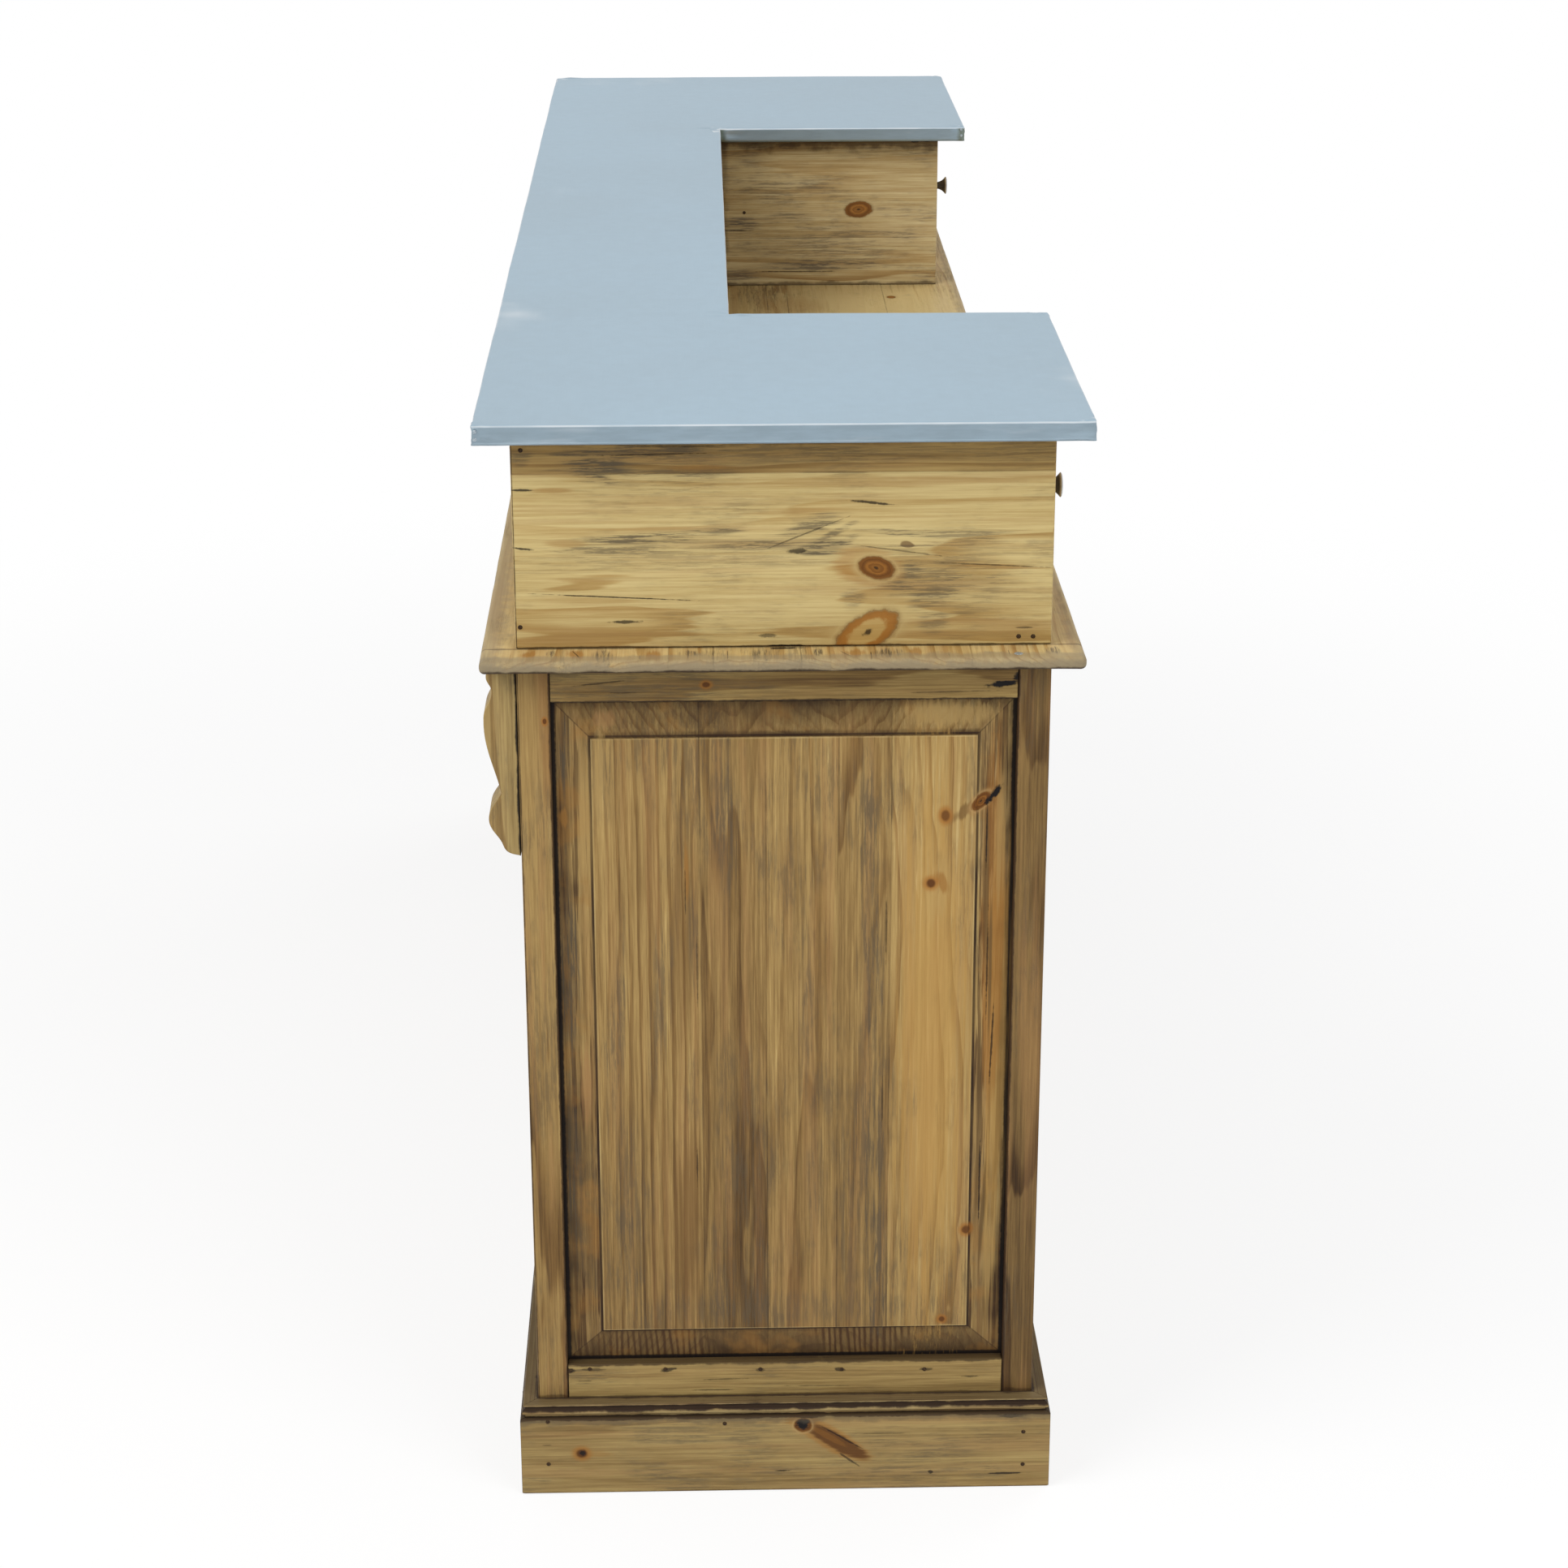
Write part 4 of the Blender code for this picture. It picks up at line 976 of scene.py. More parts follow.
# What the boards in the photograph have besides their own grain
UPPER_BOARD = {
    "tone": 0.905,
    "tint": (0.98, 1.02, 1.02),
    "heart": 0.05,
    "ring": 0.003,
    "rings": 0.24,
    "middle": 0.9,
    "threads": 0.34,
    "fibres": 0.5,
    "bands": 0.2,
    "smoke": 0.34,
    "rose": 0.26,
    "joints": (1.046,),
    "tones": (0.0, -0.28),
    "knots": (
        (0.0843, 0.956, 0.0168, 0.0106, -14, 0.85),
        (0.0762, 0.8943, 0.033, 0.0165, 32, 0.2),
    ),
    "stains": (
        (-0.17, 1.0566, 0.042, 0.013, 0, 0.95, SMOKE_AND_SHADE),
        (-0.12, 1.0686, 0.07, 0.008, 0, 0.75, SMOKE_AND_SHADE),
        (-0.237, 1.0606, 0.012, 0.01, 0, 0.55, SMOKE_AND_SHADE),
        (-0.168, 1.0414, 0.022, 0.006, -8, 0.85, SMOKE_AND_SHADE),
        (-0.1, 1.045, 0.06, 0.005, 0, 0.55, SMOKE_AND_SHADE),
        (-0.122, 0.9866, 0.066, 0.006, 2, 0.85, SMOKE_AND_SHADE),
        (-0.16, 0.974, 0.06, 0.006, 0, 0.55, SMOKE_AND_SHADE),
        (-0.06, 0.992, 0.03, 0.004, 0, 0.65, SMOKE_AND_SHADE),
        (-0.02, 0.979, 0.045, 0.005, 4, 0.55, SMOKE_AND_SHADE),
        (0.024, 0.996, 0.036, 0.01, 16, 0.75, SMOKE_AND_SHADE),
        (0.036, 0.977, 0.026, 0.011, 12, 0.85, SMOKE_AND_SHADE),
        (0.098, 0.943, 0.022, 0.008, -12, 0.65, SMOKE_AND_SHADE),
        (0.16, 0.9846, 0.06, 0.01, 0, 0.55, SMOKE_AND_SHADE),
        (0.17, 0.943, 0.04, 0.006, 0, 0.6, SMOKE_AND_SHADE),
        (0.132, 0.9262, 0.03, 0.011, 20, 0.6, SMOKE_AND_SHADE),
        (0.137, 0.9046, 0.016, 0.012, 0, 0.5, SMOKE_AND_SHADE),
        (0.063, 0.925, 0.014, 0.012, 20, 0.5, SMOKE_AND_SHADE),
        (-0.209, 1.031, 0.02, 0.003, 0, 0.5, AMBER),
        (-0.198, 0.9806, 0.022, 0.004, 0, 0.45, AMBER),
        (-0.077, 1.0518, 0.036, 0.003, 0, 0.45, AMBER),
        (0.01, 1.01, 0.05, 0.003, 3, 0.35, AMBER),
        (-0.178, 0.9278, 0.05, 0.004, -3, 0.2, AMBER),
        (0.19, 0.957, 0.06, 0.003, -3, 0.45, AMBER),
        (0.112, 0.978, 0.007, 0.0036, -10, 0.7, KNOT_BROWN),
        (0.052, 0.98, 0.024, 0.005, 22, 0.8, SMOKE_AND_SHADE),
        (-0.06, 0.97, 0.2, 0.02, 2, 0.35, SMOKE_AND_SHADE),
        (0.15, 0.95, 0.08, 0.04, 0, 0.35, SMOKE_AND_SHADE),
        (0.0, 1.066, 0.24, 0.016, 0, 0.35, SMOKE_AND_SHADE),
        (0.047, 0.99, 0.03, 0.004, 28, 0.7, SMOKE_AND_SHADE),
        (0.11, 0.988, 0.05, 0.004, -6, 0.7, SMOKE_AND_SHADE),
        (0.118, 0.956, 0.012, 0.011, 0, 0.6, SMOKE_AND_SHADE),
        (0.077, 0.957, 0.034, 0.019, -12, 0.4, RUST),
    ),
    "marks": (
        (-0.237, 1.0318, 0.012, 0.0014, 0, 0.85),
        (-0.237, 0.9766, 0.012, 0.0013, -6, 0.85),
        (-0.158, 0.9302, 0.08, 0.0008, -3, 0.85),
        (0.08, 1.0174, 0.022, 0.0017, -6, 0.85),
        (0.012, 0.9726, 0.01, 0.003, 3, 0.8),
        (-0.145, 0.9062, 0.017, 0.0022, 0, 0.8),
        (-0.015, 0.8918, 0.01, 0.0022, 0, 0.6),
        (0.19, 0.9577, 0.06, 0.0008, -3, 0.6),
        (0.105, 0.972, 0.05, 0.0008, -8, 0.5),
        (0.214, 1.079, 0.008, 0.0026, 0, 0.95),
        (0.232, 1.078, 0.009, 0.003, 8, 0.95),
        (0.222, 0.8975, 0.011, 0.001, 0, 0.6),
        (0.0, 0.882, 0.021, 0.0014, 0, 0.95),
        (-0.12, 1.064, 0.06, 0.0009, 1, 0.7),
        (-0.09, 1.0715, 0.05, 0.0008, 0, 0.65),
        (0.02, 0.989, 0.05, 0.0009, 22, 0.55),
    ),
    "soil": (
        # Painted shade under the zinc's overhang and in the crease over the work board, then a dark line
        # along the left edge
        ("z", BAR_BOARD_UNDER, 0.01, 0.45), ("z", WORK_BOARD_TOP, 0.0022, 0.7),
        ("y", -0.245, 0.0007, 0.8),
    ),
}
NEAR_PANEL = {
    "tone": 0.56,
    "heart": 0.06,
    "sway": 0.4,
    "ring": 0.0038,
    "rings": 0.25,
    "threads": 0.62,
    "fibres": 0.8,
    "bands": 0.24,
    "smoke": 0.5,
    "rose": 0.26,
    # Painted shade: darker towards the floor
    "fade": ("along", 0.7, 0.16, 0.1),
    "joints": (-0.079, -0.017, 0.0505, 0.1),
    "tones": (0.03, -0.07, 0.05, 0.0, 0.14),
    "knots": (
        (0.729, 0.184, 0.011, 0.006, 45, 0.95),
        (0.7157, 0.1506, 0.0062, 0.0045, 0, 0.55),
        (0.6478, 0.1379, 0.005, 0.0048, 0, 0.95),
        (0.2804, 0.1773, 0.005, 0.0045, 0, 0.75),
        (0.1813, 0.1549, 0.0034, 0.0034, 0, 0.8),
    ),
    "stains": (
        (0.48, 0.142, 0.33, 0.038, 0, 0.55, GOLD),
        (0.5, 0.203, 0.29, 0.015, 0, 0.5, GOLD),
        (0.6, 0.197, 0.2, 0.012, 0, 0.45, RUST),
        (0.587, -0.097, 0.15, 0.015, 1, 0.4, TEA),
        (0.29, -0.095, 0.12, 0.016, 0, 0.62, TEA),
        (0.66, -0.093, 0.03, 0.003, 0, 0.7, AMBER),
        (0.53, -0.118, 0.11, 0.012, 5, 0.55, SMOKE_AND_SHADE),
        (0.7, -0.055, 0.09, 0.01, 0, 0.6, SMOKE_AND_SHADE),
        (0.59, -0.085, 0.06, 0.006, 0, 0.5, SMOKE_AND_SHADE),
        (0.5, -0.16, 0.13, 0.01, 4, 0.6, SMOKE_AND_SHADE),
        (0.3, -0.15, 0.12, 0.02, 0, 0.45, SMOKE_AND_SHADE),
        (0.7, 0.078, 0.08, 0.012, 0, 0.6, SMOKE_AND_SHADE),
        (0.56, 0.083, 0.09, 0.015, 0, 0.7, SMOKE_AND_SHADE),
        (0.38, 0.086, 0.08, 0.012, 0, 0.5, SMOKE_AND_SHADE),
        (0.25, 0.09, 0.09, 0.014, 0, 0.75, SMOKE_AND_SHADE),
        (0.33, 0.03, 0.06, 0.01, 0, 0.4, SMOKE_AND_SHADE),
        (0.52, 0.02, 0.07, 0.008, 0, 0.4, SMOKE_AND_SHADE),
        (0.195, 0.0, 0.022, 0.17, 0, 0.45, SMOKE_AND_SHADE),
        (0.76, -0.172, 0.06, 0.006, 2, 0.6, HONEY),
        (0.64, 0.145, 0.04, 0.012, 12, 0.45, HONEY),
        (0.65, 0.147, 0.014, 0.006, -30, 0.8, AMBER),
        (0.72, 0.168, 0.02, 0.006, 50, 0.75, TEA),
        (0.815, 0.15, 0.014, 0.05, 0, 0.65, HONEY),
        (0.812, -0.165, 0.01, 0.013, 0, 0.45, ROSE),
        (0.72, -0.187, 0.08, 0.007, 0, 0.6, HONEY),
        (0.78, -0.205, 0.04, 0.008, 0, 0.85, SMOKE_AND_SHADE),
        (0.715, -0.207, 0.01, 0.005, 0, 0.7, AMBER),
        (0.56, -0.203, 0.09, 0.011, 3, 0.9, SMOKE_AND_SHADE),
        (0.35, -0.205, 0.12, 0.007, 0, 0.8, SMOKE_AND_SHADE),
        (0.44, -0.19, 0.05, 0.006, 0, 0.6, ROSE),
        (0.64, 0.19, 0.1, 0.004, 0, 0.8, WALNUT),
        (0.56, 0.196, 0.1, 0.002, 0, 0.8, WALNUT),
        (0.7, 0.203, 0.08, 0.006, 0, 0.5, HONEY),
        (0.4, 0.188, 0.12, 0.003, 0, 0.8, WALNUT),
        (0.29, 0.193, 0.06, 0.0025, 2, 0.85, WALNUT),
        (0.25, 0.2, 0.05, 0.006, 0, 0.45, HONEY),
    ),
    "marks": (
        (0.64, -0.0935, 0.03, 0.0008, 0, 0.6),
        (0.56, -0.083, 0.04, 0.001, 0, 0.5),
        (0.355, -0.085, 0.024, 0.001, 0, 0.6),
        (0.6, 0.096, 0.04, 0.001, 0, 0.6),
        (0.42, 0.094, 0.03, 0.001, 0, 0.5),
        (0.735, 0.196, 0.014, 0.004, 40, 1.0),
        (0.69, 0.19, 0.04, 0.001, 0, 0.8),
        (0.56, 0.193, 0.06, 0.001, 0, 0.8),
        (0.48, 0.199, 0.05, 0.0012, 2, 0.8),
        (0.33, 0.19, 0.05, 0.0012, 0, 0.8),
    ),
}
NEAR_TOP_RAIL = {
    "tone": 0.56,
    "tint": (0.98, 1.03, 1.02),
    "smoke": 0.58,
    "rose": 0.15,
    "knots": ((-0.0719, 0.848, 0.004, 0.003, 0, 0.9),),
    "marks": (
        (0.203, 0.8465, 0.02, 0.0034, 5, 1.0),
        (0.2165, 0.853, 0.007, 0.007, 0, 1.0),
        (-0.165, 0.851, 0.03, 0.001, 6, 0.6),
        (-0.15, 0.841, 0.014, 0.001, 0, 0.5),
        (0.15, 0.839, 0.05, 0.0008, 1, 0.5),
    ),
    "soil": (
        # Painted shade under the work board and round the panel's recess
        ("z", WORK_BOARD_UNDER, 0.005, 0.7), ("z", OPENING_HEAD, 0.0022, 0.85),
        ("y", -OPENING_Y, 0.0012, 0.85), ("y", OPENING_Y, 0.0012, 0.85),
    ),
}
NEAR_BOTTOM_RAIL = {
    "tone": 0.6,
    "ring": 0.0024,
    "rings": 0.14,
    "tint": (0.96, 1.03, 1.06),
    "smoke": 0.5,
    "rose": 0.12,
    "marks": (
        (-0.19, 0.131, 0.012, 0.002, 0, 0.55),
        (0.185, 0.117, 0.012, 0.0012, 0, 0.65),
        (-0.073, 0.106, 0.024, 0.0009, 0, 0.6),
        (-0.2137, 0.13, 0.005, 0.0032, 0, 0.8),
        (-0.117, 0.1296, 0.009, 0.0026, 8, 0.8),
        (-0.0247, 0.128, 0.005, 0.0024, 0, 0.55),
        (0.054, 0.1272, 0.007, 0.0026, -12, 0.75),
        (0.14, 0.126, 0.008, 0.0022, 0, 0.65),
        (-0.06, 0.118, 0.03, 0.0009, 1, 0.55),
        (0.03, 0.109, 0.04, 0.0008, -1, 0.45),
        (-0.2, 0.118, 0.008, 0.001, 0, 0.45),
    ),
    "soil": (
        # Painted shade round the panel's recess and in the crease over the moulding
        ("z", OPENING_FOOT, 0.0035, 0.8), ("z", MOULDING_TOP, 0.0018, 0.6),
        ("y", -OPENING_Y, 0.0012, 0.85), ("y", OPENING_Y, 0.0012, 0.7),
    ),
}
NEAR_PLINTH = {
    "tone": 0.6,
    "tint": (0.95, 1.03, 1.1),
    "rings": 0.16,
    "threads": 0.4,
    "fibres": 0.6,
    "bands": 0.38,
    "smoke": 0.5,
    "rose": 0.26,
    "knots": (
        (-0.2034, 0.046, 0.0062, 0.0054, 0, 0.95),
        (0.017, 0.075, 0.0085, 0.0075, 0, 1.0),
    ),
    "stains": (
        (0.045, 0.059, 0.048, 0.013, -33, 0.55, RUST),
        (0.05, 0.056, 0.039, 0.009, -33, 0.85, KNOT_BROWN),
        (0.043, 0.061, 0.022, 0.0034, -33, 0.25, RUST),
        (0.01, 0.08, 0.012, 0.006, 0, 0.6, AMBER),
        (-0.19, 0.046, 0.02, 0.004, 0, 0.45, AMBER),
        (0.155, 0.04, 0.04, 0.01, 0, 0.4, SMOKE_AND_SHADE),
        (-0.1, 0.06, 0.06, 0.006, 0, 0.4, SMOKE_AND_SHADE),
    ),
    "marks": (
        (0.0165, 0.0765, 0.0075, 0.007, 0, 1.0),
        (-0.2026, 0.0462, 0.0042, 0.0034, 0, 0.9),
        (0.056, 0.06, 0.03, 0.0012, -33, 0.7),
        (0.2211, 0.0161, 0.024, 0.0013, 0, 0.85),
        (-0.0027, 0.0228, 0.011, 0.0012, 0, 0.8),
        (0.225, 0.082, 0.014, 0.0022, 0, 0.7),
        (0.145, 0.019, 0.003, 0.0026, 0, 0.8),
        (0.064, 0.034, 0.014, 0.0014, -38, 0.7),
        (-0.238, 0.056, 0.006, 0.0008, 0, 0.5),
        (0.1, 0.064, 0.03, 0.0007, 0, 0.45),
    ),
    "soil": (
        # Painted shade under the moulding's lip, grey and broad, then a dark line; darker along the foot
        ("z", 0.0856, 0.009, 0.5, SMOKE_AND_SHADE), ("z", 0.0856, 0.0028, 0.85), ("z", 0.0, 0.003, 0.35),
    ),
}
FAR_WALL = {
    "tone": 0.82,
    "tint": (0.95, 1.02, 1.22),
    "threads": 0.25,
    "heart": 0.09,
    "ring": 0.0036,
    "smoke": 0.55,
    "rose": 0.1,
    "joints": (0.9457,),
    "tones": (0.03, 0.0),
    "knots": ((0.1405, 0.9838, 0.019, 0.011, 5, 0.75),),
    "stains": (
        (-0.02, 0.965, 0.03, 0.012, 0, 0.75, SMOKE_AND_SHADE),
        (0.05, 0.975, 0.04, 0.005, 0, 0.55, SMOKE_AND_SHADE),
        (0.08, 0.908, 0.09, 0.009, 0, 0.7, SMOKE_AND_SHADE),
        (-0.03, 0.895, 0.04, 0.012, 0, 0.7, SMOKE_AND_SHADE),
        (0.15, 0.95, 0.06, 0.006, 0, 0.5, SMOKE_AND_SHADE),
    ),
    "marks": (
        (0.215, 1.074, 0.006, 0.002, 0, 0.9),
        (0.23, 1.076, 0.006, 0.002, 0, 0.9),
        (0.06, 0.9, 0.06, 0.001, 0, 0.7),
        (-0.02, 0.956, 0.026, 0.001, 0, 0.7),
    ),
    "soil": (
        # Painted shadow under the bar's overhang and beside the bar front, painted shade in the crease
        # over the work board
        ("z", BAR_BOARD_UNDER, 0.022, 0.6), ("z", WORK_BOARD_TOP, 0.006, 0.65),
        ("y", -0.046, 0.014, 0.45),
    ),
}
WORK_BOARD = {
    "tone": 0.9,
    "heart": 0.04,
    "ring": 0.0046,
    "rings": 0.26,
    "threads": 0.3,
    "fibres": 0.5,
    "bands": 0.26,
    "smoke": 0.42,
    "rose": 0.3,
    "joints": (-0.106, -0.065, 0.015, 0.0417, 0.1706),
    "tones": (0.0, -0.05, -0.02, 0.03, -0.03, 0.03),
    "knots": ((-0.5196, 0.181, 0.008, 0.006, 0, 0.6), (0.31, 0.12, 0.014, 0.009, 10, 0.8)),
    "stains": (
        (-0.54, 0.01, 0.07, 0.04, 0, 0.55, SMOKE_AND_SHADE),
        (0.2, -0.1, 0.2, 0.02, 0, 0.5, SMOKE_AND_SHADE),
        # A broad light patch over the recess: painted light
        (-0.45, 0.15, 0.22, 0.15, 0, 0.85, STRAW),
        (-0.47, 0.05, 0.06, 0.05, 0, 0.35, AMBER),
        (0.99, 0.26, 0.02, 0.03, 0, 0.45, STRAW),
        (0.985, -0.19, 0.016, 0.01, 10, 0.8, AMBER),
        (0.985, -0.235, 0.012, 0.008, -20, 0.8, AMBER),
        (0.99, -0.12, 0.014, 0.008, 0, 0.75, AMBER),
        (0.988, 0.065, 0.012, 0.014, 30, 0.75, AMBER),
        (0.985, 0.12, 0.014, 0.007, 0, 0.7, AMBER),
        (0.982, -0.215, 0.01, 0.006, 0, 0.95, SMOKE_AND_SHADE),
        (0.99, -0.165, 0.02, 0.012, 0, 0.85, SMOKE_AND_SHADE),
        (0.985, -0.08, 0.01, 0.018, 0, 0.85, SMOKE_AND_SHADE),
        (0.99, -0.02, 0.02, 0.012, 0, 0.8, SMOKE_AND_SHADE),
        (0.984, 0.03, 0.012, 0.005, 0, 0.95, SMOKE_AND_SHADE),
        (0.988, 0.095, 0.014, 0.016, 20, 0.85, SMOKE_AND_SHADE),
        (0.985, 0.245, 0.01, 0.01, 0, 0.8, SMOKE_AND_SHADE),
    ),
    "marks": (
        (0.972, 0.0, 0.003, 0.02, 0, 0.9),
        (0.985, -0.19, 0.012, 0.0008, 20, 0.7),
        (0.99, 0.056, 0.014, 0.0008, 30, 0.6),
        (0.99, 0.205, 0.012, 0.0006, 0, 0.6),
        (0.99, -0.052, 0.014, 0.0006, 0, 0.6),
        (0.996, -0.132, 0.008, 0.0005, 0, 0.7),
        (0.996, -0.088, 0.006, 0.0005, 0, 0.6),
        (0.994, 0.079, 0.01, 0.0007, 0, 0.8),
        (0.996, 0.15, 0.008, 0.0005, 0, 0.6),
        (0.99, 0.095, 0.014, 0.0006, 0, 0.7),
    ),
    "soil": (
        ("x", 1.0, 0.015, 0.62, NOSE_GREY), ("z", 0.872, 0.008, 0.7, NOSE_GREY),
        ("y", -0.278, 0.026, 0.5, NOSE_GREY), ("y", 0.278, 0.02, 0.4, NOSE_GREY),
        # Painted shade under the nose and in the crease against the upper tier
        ("z", 0.8685, 0.004, 0.9), ("x", 0.968, 0.003, 0.5),
    ),
}
MOULDING = {
    "tone": 0.64,
    "tint": (0.93, 1.03, 1.22),
    "smoke": 0.25,
    "rose": 0.25,
    "soil": (
        # Painted shade in the quirk under the lip and in the cove; darker along the top edge
        ("z", 0.0853, 0.002, 0.94), ("z", 0.095, 0.0042, 0.97), ("z", MOULDING_TOP, 0.0013, 0.6),
    ),
}

# The boards that the photograph shows: (along, across, settings)
SEEN_BOARDS = {
    "tier_end_board_right": ("y", "z", UPPER_BOARD),
    "end_panel_right": ("z", "y", NEAR_PANEL),
    "end_top_rail_right": ("y", "z", NEAR_TOP_RAIL),
    "end_bottom_rail_right": ("y", "z", NEAR_BOTTOM_RAIL),
    "plinth_right_end": ("y", "z", NEAR_PLINTH),
    "tier_wall_left": ("y", "z", FAR_WALL),
    "work_board": ("x", "y", WORK_BOARD),
}

# Boards cut from one plank, which share a finish
FAMILIES = (
    "shelf", "drawer_side", "drawer_back", "drawer_bottom", "corbel", "front_stile", "wing_top_board",
)

# Boards whose arrises are eased
EASED_BOARDS = (
    "post_", "stile", "top_rail", "bottom_rail", "plinth", "tier_", "drawer_front", "drawer_side",
    "drawer_back", "shelf", "divider",
)


def chance_knots(seed, low, high, along, across, share):
    """Knots for a board that the photograph doesn't show, share to the square metre."""
    luck = random.Random(seed * 7 + 1)
    at, by = AXES.index(along), AXES.index(across)
    area = (high[at] - low[at]) * (high[by] - low[by])
    knots = []
    for number in range(min(3, round(area * share + luck.random() * 0.8))):
        half = luck.uniform(0.006, 0.017)
        edge = min(half, (high[by] - low[by]) * 0.3)
        knots.append((
            luck.uniform(low[at] + 0.06, max(low[at] + 0.061, high[at] - 0.06)),
            luck.uniform(low[by] + edge, high[by] - edge),
            half,
            half * luck.uniform(0.5, 0.8),
            luck.uniform(-25, 25),
            luck.uniform(0.3, 1.0),
        ))
    return knots


def base_look(node, low, high, seed):
    """The plinth boards, in painted shade under the mouldings, and the mouldings with painted shade in
    their quirks and cove, darker where they meet the carcass.
    """
    along = "y" if high.y - low.y > high.x - low.x else "x"
    if node.startswith("plinth"):
        look = {"tone": 0.60, "tint": (0.95, 1.03, 1.10), "smoke": 0.42, "rose": 0.20}
        look.update(rings=0.14, threads=0.30, soil=NEAR_PLINTH["soil"])
        look["knots"] = chance_knots(seed, low, high, along, "z", 14)
        return along, "z", look
    roots = {
        "right_end": ("x", low.x),
        "left_end": ("x", high.x),
        "front": ("y", high.y),
        "back": ("y", low.y),
    }
    root = next(roots[side] for side in roots if node.endswith(side))
    return along, "z", {**MOULDING, "soil": MOULDING["soil"] + ((*root, 0.0040, 0.85),)}


def upright_look(node, low, high, seed):
    """Posts and stiles, in painted shade where they meet the boards over and under them; the posts also in
    painted shadow along the panel's opening and darker towards the floor as painted shade.
    """
    if "stile" in node:
        look = {"tone": 0.56, "heart": 0.2, "smoke": 0.42, "rose": 0.5}
        # Painted shade under the work board
        return "z", "x", {**look, "soil": (("z", WORK_BOARD_UNDER, 0.006, 0.6),)}
    look = {"heart": 0.2, "smoke": 0.45, "rose": 0.32, "threads": 0.30, "fibres": 0.6}
    look["tone"] = 0.39 if "back" in node else 0.64
    # Painted shade: the posts darker towards the floor
    look["fade"] = ("along", 0.85, 0.15, 0.09)
    look["knots"] = ((0.8138, -0.2210, 0.003, 0.002, 0, 0.8),)
    # Painted shadow along the opening, painted shade under the work board and over the moulding
    look["soil"] = (
        ("y", OPENING_Y if "back" in node else -OPENING_Y, 0.0020, 0.85),
        ("z", WORK_BOARD_UNDER, 0.006, 0.60),
        ("z", MOULDING_TOP, 0.004, 0.55),
    )
    if "front" in node:
        look["soil"] += (("y", -0.2450, 0.0008, 0.80),)
    return "z", "y", look


def rail_look(node, low, high, seed):
    """The rails that the photograph doesn't show. The far end's are like the near end's."""
    if node.startswith("end"):
        look = dict(NEAR_TOP_RAIL if "top" in node else NEAR_BOTTOM_RAIL)
        look["marks"] = look["marks"][2:]
        return "y", "z", look
    look = {"tone": 0.53, "tint": (0.97, 1.03, 1.04), "smoke": 0.55, "rose": 0.2}
    # Painted shade at the opening's foot and in the crease over the moulding
    look["soil"] = (("z", OPENING_FOOT, 0.0035, 0.8), ("z", MOULDING_TOP, 0.0045, 0.6))
    if "top" in node:
        # Painted shade under the work board and at the opening's head
        look["soil"] = (("z", WORK_BOARD_UNDER, 0.005, 0.7), ("z", OPENING_HEAD, 0.0022, 0.8))
    look["knots"] = chance_knots(seed, low, high, "x", "z", 12)
    return "x", "z", look


def panel_look(node, low, high, seed):
    """A panel like the near one, of staves with widths and tones of its own."""
    across = "y" if node.startswith("end") else "x"
    middle = (low[AXES.index(across)] + high[AXES.index(across)]) / 2
    luck = random.Random(seed)
    joints = [middle + shift + luck.uniform(-0.015, 0.015) for shift in (-0.10, -0.035, 0.035, 0.10)]
    tones = [luck.uniform(-0.09, 0.11) for _ in range(5)]
    look = dict(NEAR_PANEL, joints=joints, tones=tones, marks=(), stains=(), smoke=0.60)
    look["knots"] = chance_knots(seed, low, high, "z", across, 9)
    return "z", across, look


def tier_look(node, low, high, seed):
    """The upper tier's boards, and the bearer under the bar."""
    if node.startswith("tier_end"):
        look = dict(UPPER_BOARD, stains=(), marks=(), smoke=0.55)
        look["knots"] = chance_knots(seed, low, high, "y", "z", 16)
        return "y", "z", look
    if node.startswith("tier_wall"):
        knots = ((0.06, 0.93, 0.015, 0.010, 10, 0.8),)
        return "y", "z", dict(FAR_WALL, stains=(), marks=(), knots=knots)
    look = {"tone": 0.76, "heart": 0.10, "ring": 0.0032, "smoke": 0.50, "rose": 0.22}
    # Painted shade under the bar's overhang and in the crease over the work board
    look["soil"] = (("z", BAR_BOARD_UNDER, 0.014, 0.5), ("z", WORK_BOARD_TOP, 0.004, 0.7))
    look["knots"] = chance_knots(seed, low, high, "x", "z", 8)
    if node == "tier_front_board":
        look.update(joints=(0.975, 1.046), tones=(0.0, 0.05, -0.10))
    return "x", "z", look


def corbel_look(node, low, high, seed):
    """A corbel, in painted shadow where it meets its post and in painted shade under the work board."""
    look = {"tone": 0.635, "tint": (0.96, 1.05, 1.16), "smoke": 0.60, "rose": 0.10, "heart": 0.08}
    look["soil"] = (("y", high.y, 0.0028, 0.95, PITCH), ("z", high.z, 0.006, 0.6))
    return "z", "y", look


def drawer_front_look(node, low, high, seed):
    """A drawer's front, worn round its knob and darker along its edges."""
    middle = (low + high) / 2
    look = {"tone": 0.72, "heart": 0.10, "smoke": 0.45, "rose": 0.2}
    look["soil"] = (
        ("z", low.z, 0.003, 0.6), ("z", high.z, 0.003, 0.6),
        ("x", low.x, 0.002, 0.6), ("x", high.x, 0.002, 0.6),
    )
    look["knots"] = chance_knots(seed, low, high, "x", "z", 25)
    look["stains"] = ((middle.x, middle.z, 0.020, 0.018, 0, 0.5, SMOKE_AND_SHADE),)
    return "x", "z", look


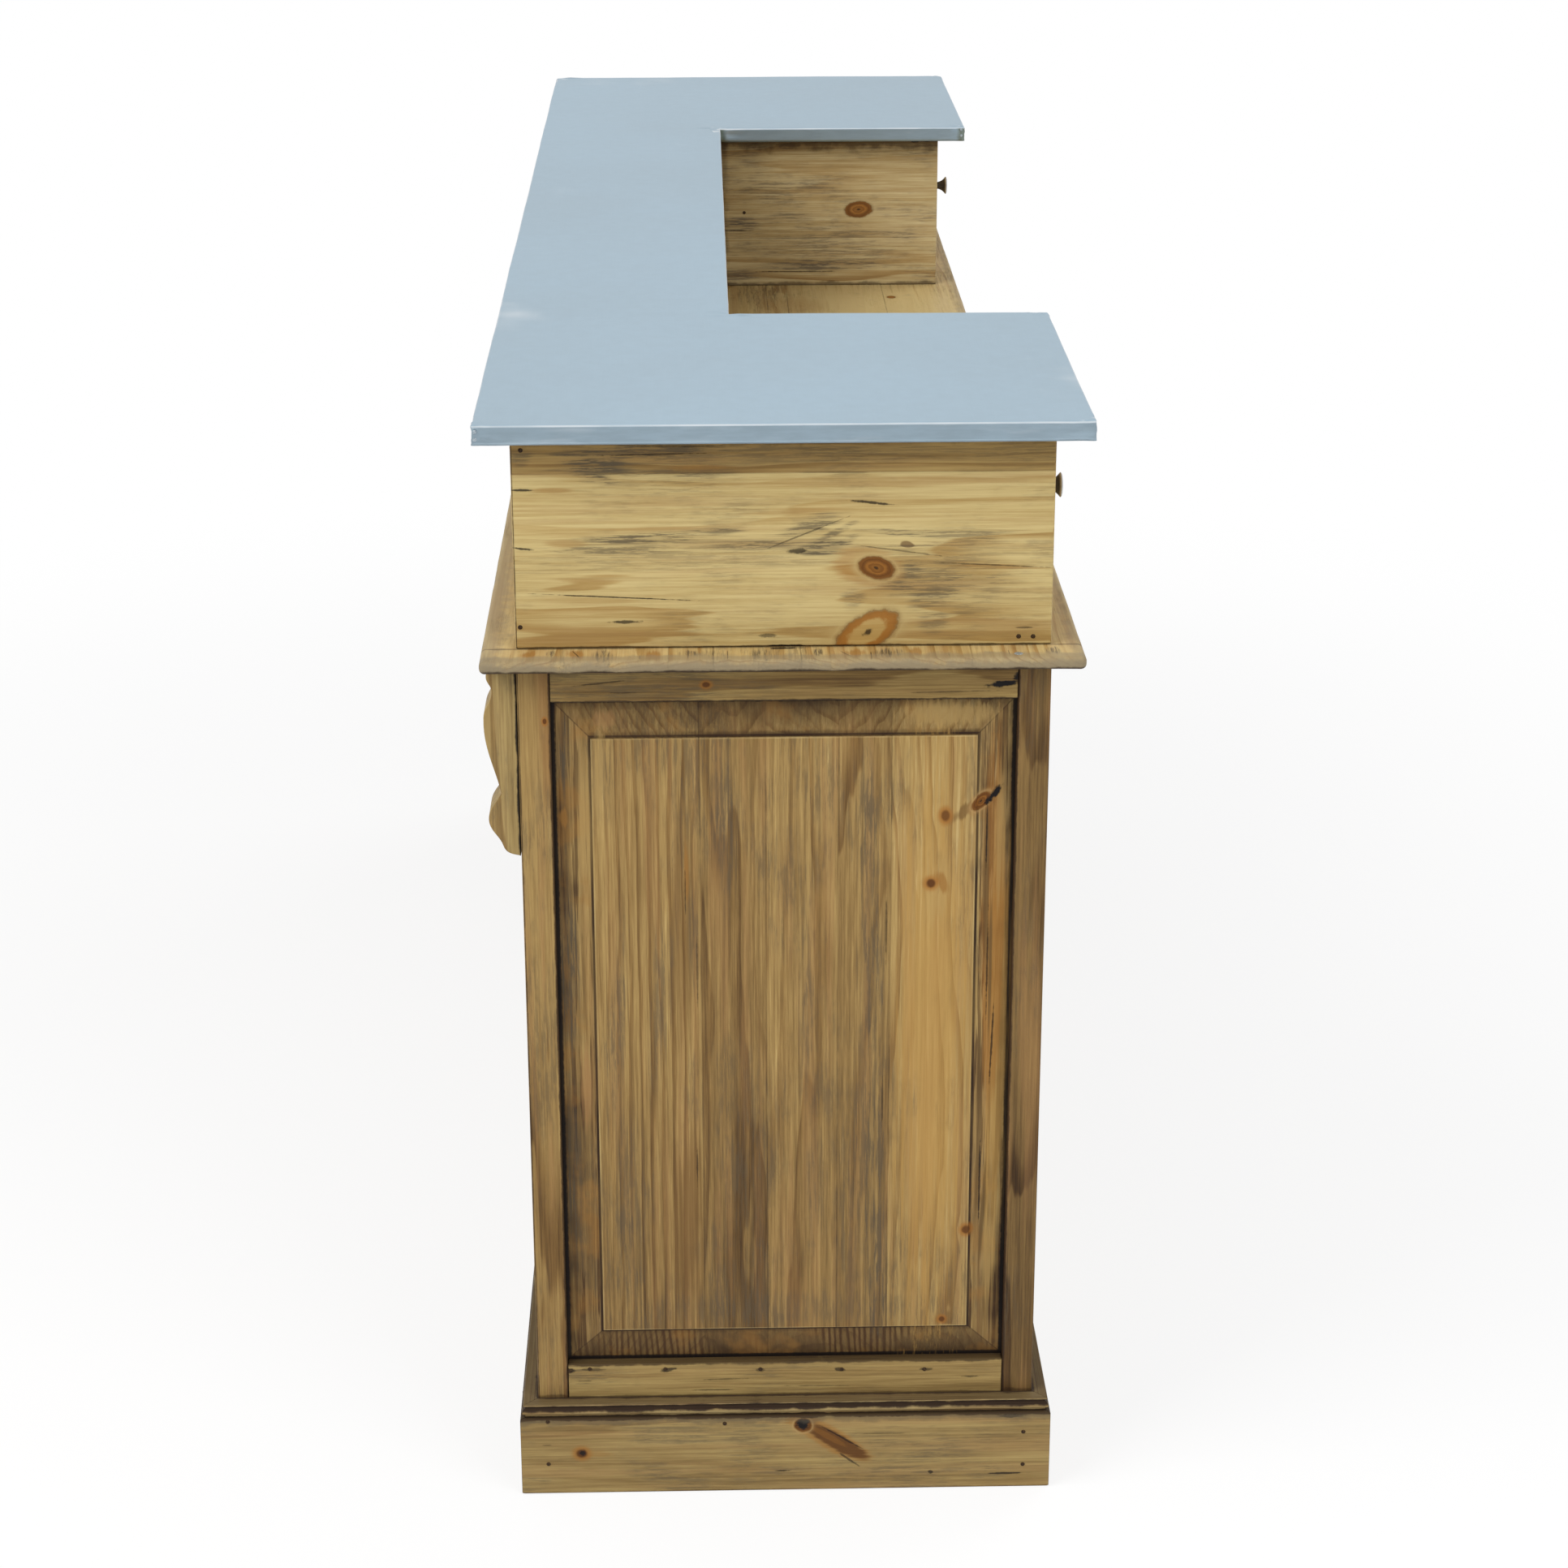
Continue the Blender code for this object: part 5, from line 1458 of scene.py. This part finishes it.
def raw_look(node, low, high, seed):
    """Unwaxed boards: the shelves and the bottom, the drawers' insides, those under the zinc."""
    size = high - low
    along = AXES[max(range(3), key=lambda axis: size[axis])]
    thin = AXES[min(range(3), key=lambda axis: size[axis])]
    across = next(axis for axis in AXES if axis not in (along, thin))
    look = {"tone": 0.93, "smoke": 0.14, "rose": 0.20, "heart": 0.10, "sheen": 0.60}
    if node.startswith(("shelf", "bottom_board", "divider")):
        luck = random.Random(seed)
        at = AXES.index(across)
        look.update(tone=0.84, smoke=0.32)
        look["joints"] = sorted(luck.uniform(low[at] + 0.05, high[at] - 0.05) for _ in range(2))
        look["tones"] = [luck.uniform(-0.06, 0.06) for _ in range(3)]
    look["knots"] = chance_knots(seed, low, high, along, across, 7)
    return along, across, look


# Which look a board takes, by the start of its name
SORTS = (
    (("base_moulding", "plinth"), base_look),
    (("post_", "front_stile", "back_stile"), upright_look),
    (("end_top", "end_bottom", "front_top", "front_bottom", "back_top", "back_bottom"), rail_look),
    (("end_panel", "front_panel"), panel_look),
    (("tier_", "bar_bearer"), tier_look),
    (("corbel",), corbel_look),
    (("left_drawer_front", "right_drawer_front"), drawer_front_look),
)


def board_look(node, low, high, seed):
    """Which way a board's grain runs, and its finish: (along, across, settings)."""
    if node in SEEN_BOARDS:
        return SEEN_BOARDS[node]
    for starts, look in SORTS:
        if node.startswith(starts):
            return look(node, low, high, seed)
    return raw_look(node, low, high, seed)


def finish_nodes():
    """Give every CAD node its finish, and the finer piece where it has one."""
    shared = {}
    for seed, node in enumerate(sorted(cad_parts)):
        low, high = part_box(node)
        family = next((word for word in FAMILIES if word in node), node)
        if family in shared:
            material = shared[family]
        elif node == "zinc_top":
            material = zinc_finish()
        elif node.endswith("knob"):
            middle = (low + high) / 2
            material = iron_finish(node, (middle.x, middle.z), (high.x - low.x) / 2)
        else:
            along, across, look = board_look(node, low, high, seed)
            at = AXES.index(across)
            look = {"middle": (low[at] + high[at]) / 2, **look}
            if "_panel" in node:
                margin = Vector((FIELD_MARGIN, FIELD_MARGIN, FIELD_MARGIN))
                look = {**look, "field": (low + margin, high - margin)}
            material = old_pine(family, along, across, seed, **look)
        shared[family] = material
        dress(node, material)
        build(node, material)


def build(node, material):
    """Put the finer piece over a node that has one."""
    if node == "zinc_top":
        make_zinc_sheet(material)
    elif node == "work_board":
        make_work_board(material)
    elif node.startswith("end_panel"):
        make_panel(node, "x+" if node.endswith("right") else "x-", material)
    elif node.startswith("front_panel"):
        make_panel(node, "y-", material)
    elif node.startswith("corbel"):
        make_corbel(node, material)
    elif node.endswith("knob"):
        make_knob(node, node.replace("_knob", ""), material)
    elif any(word in node for word in EASED_BOARDS):
        ease_board(node, material)


bpy.context.scene.view_settings.view_transform = "Standard"
make_stage()
make_light()
make_camera()
finish_nodes()
fasten()
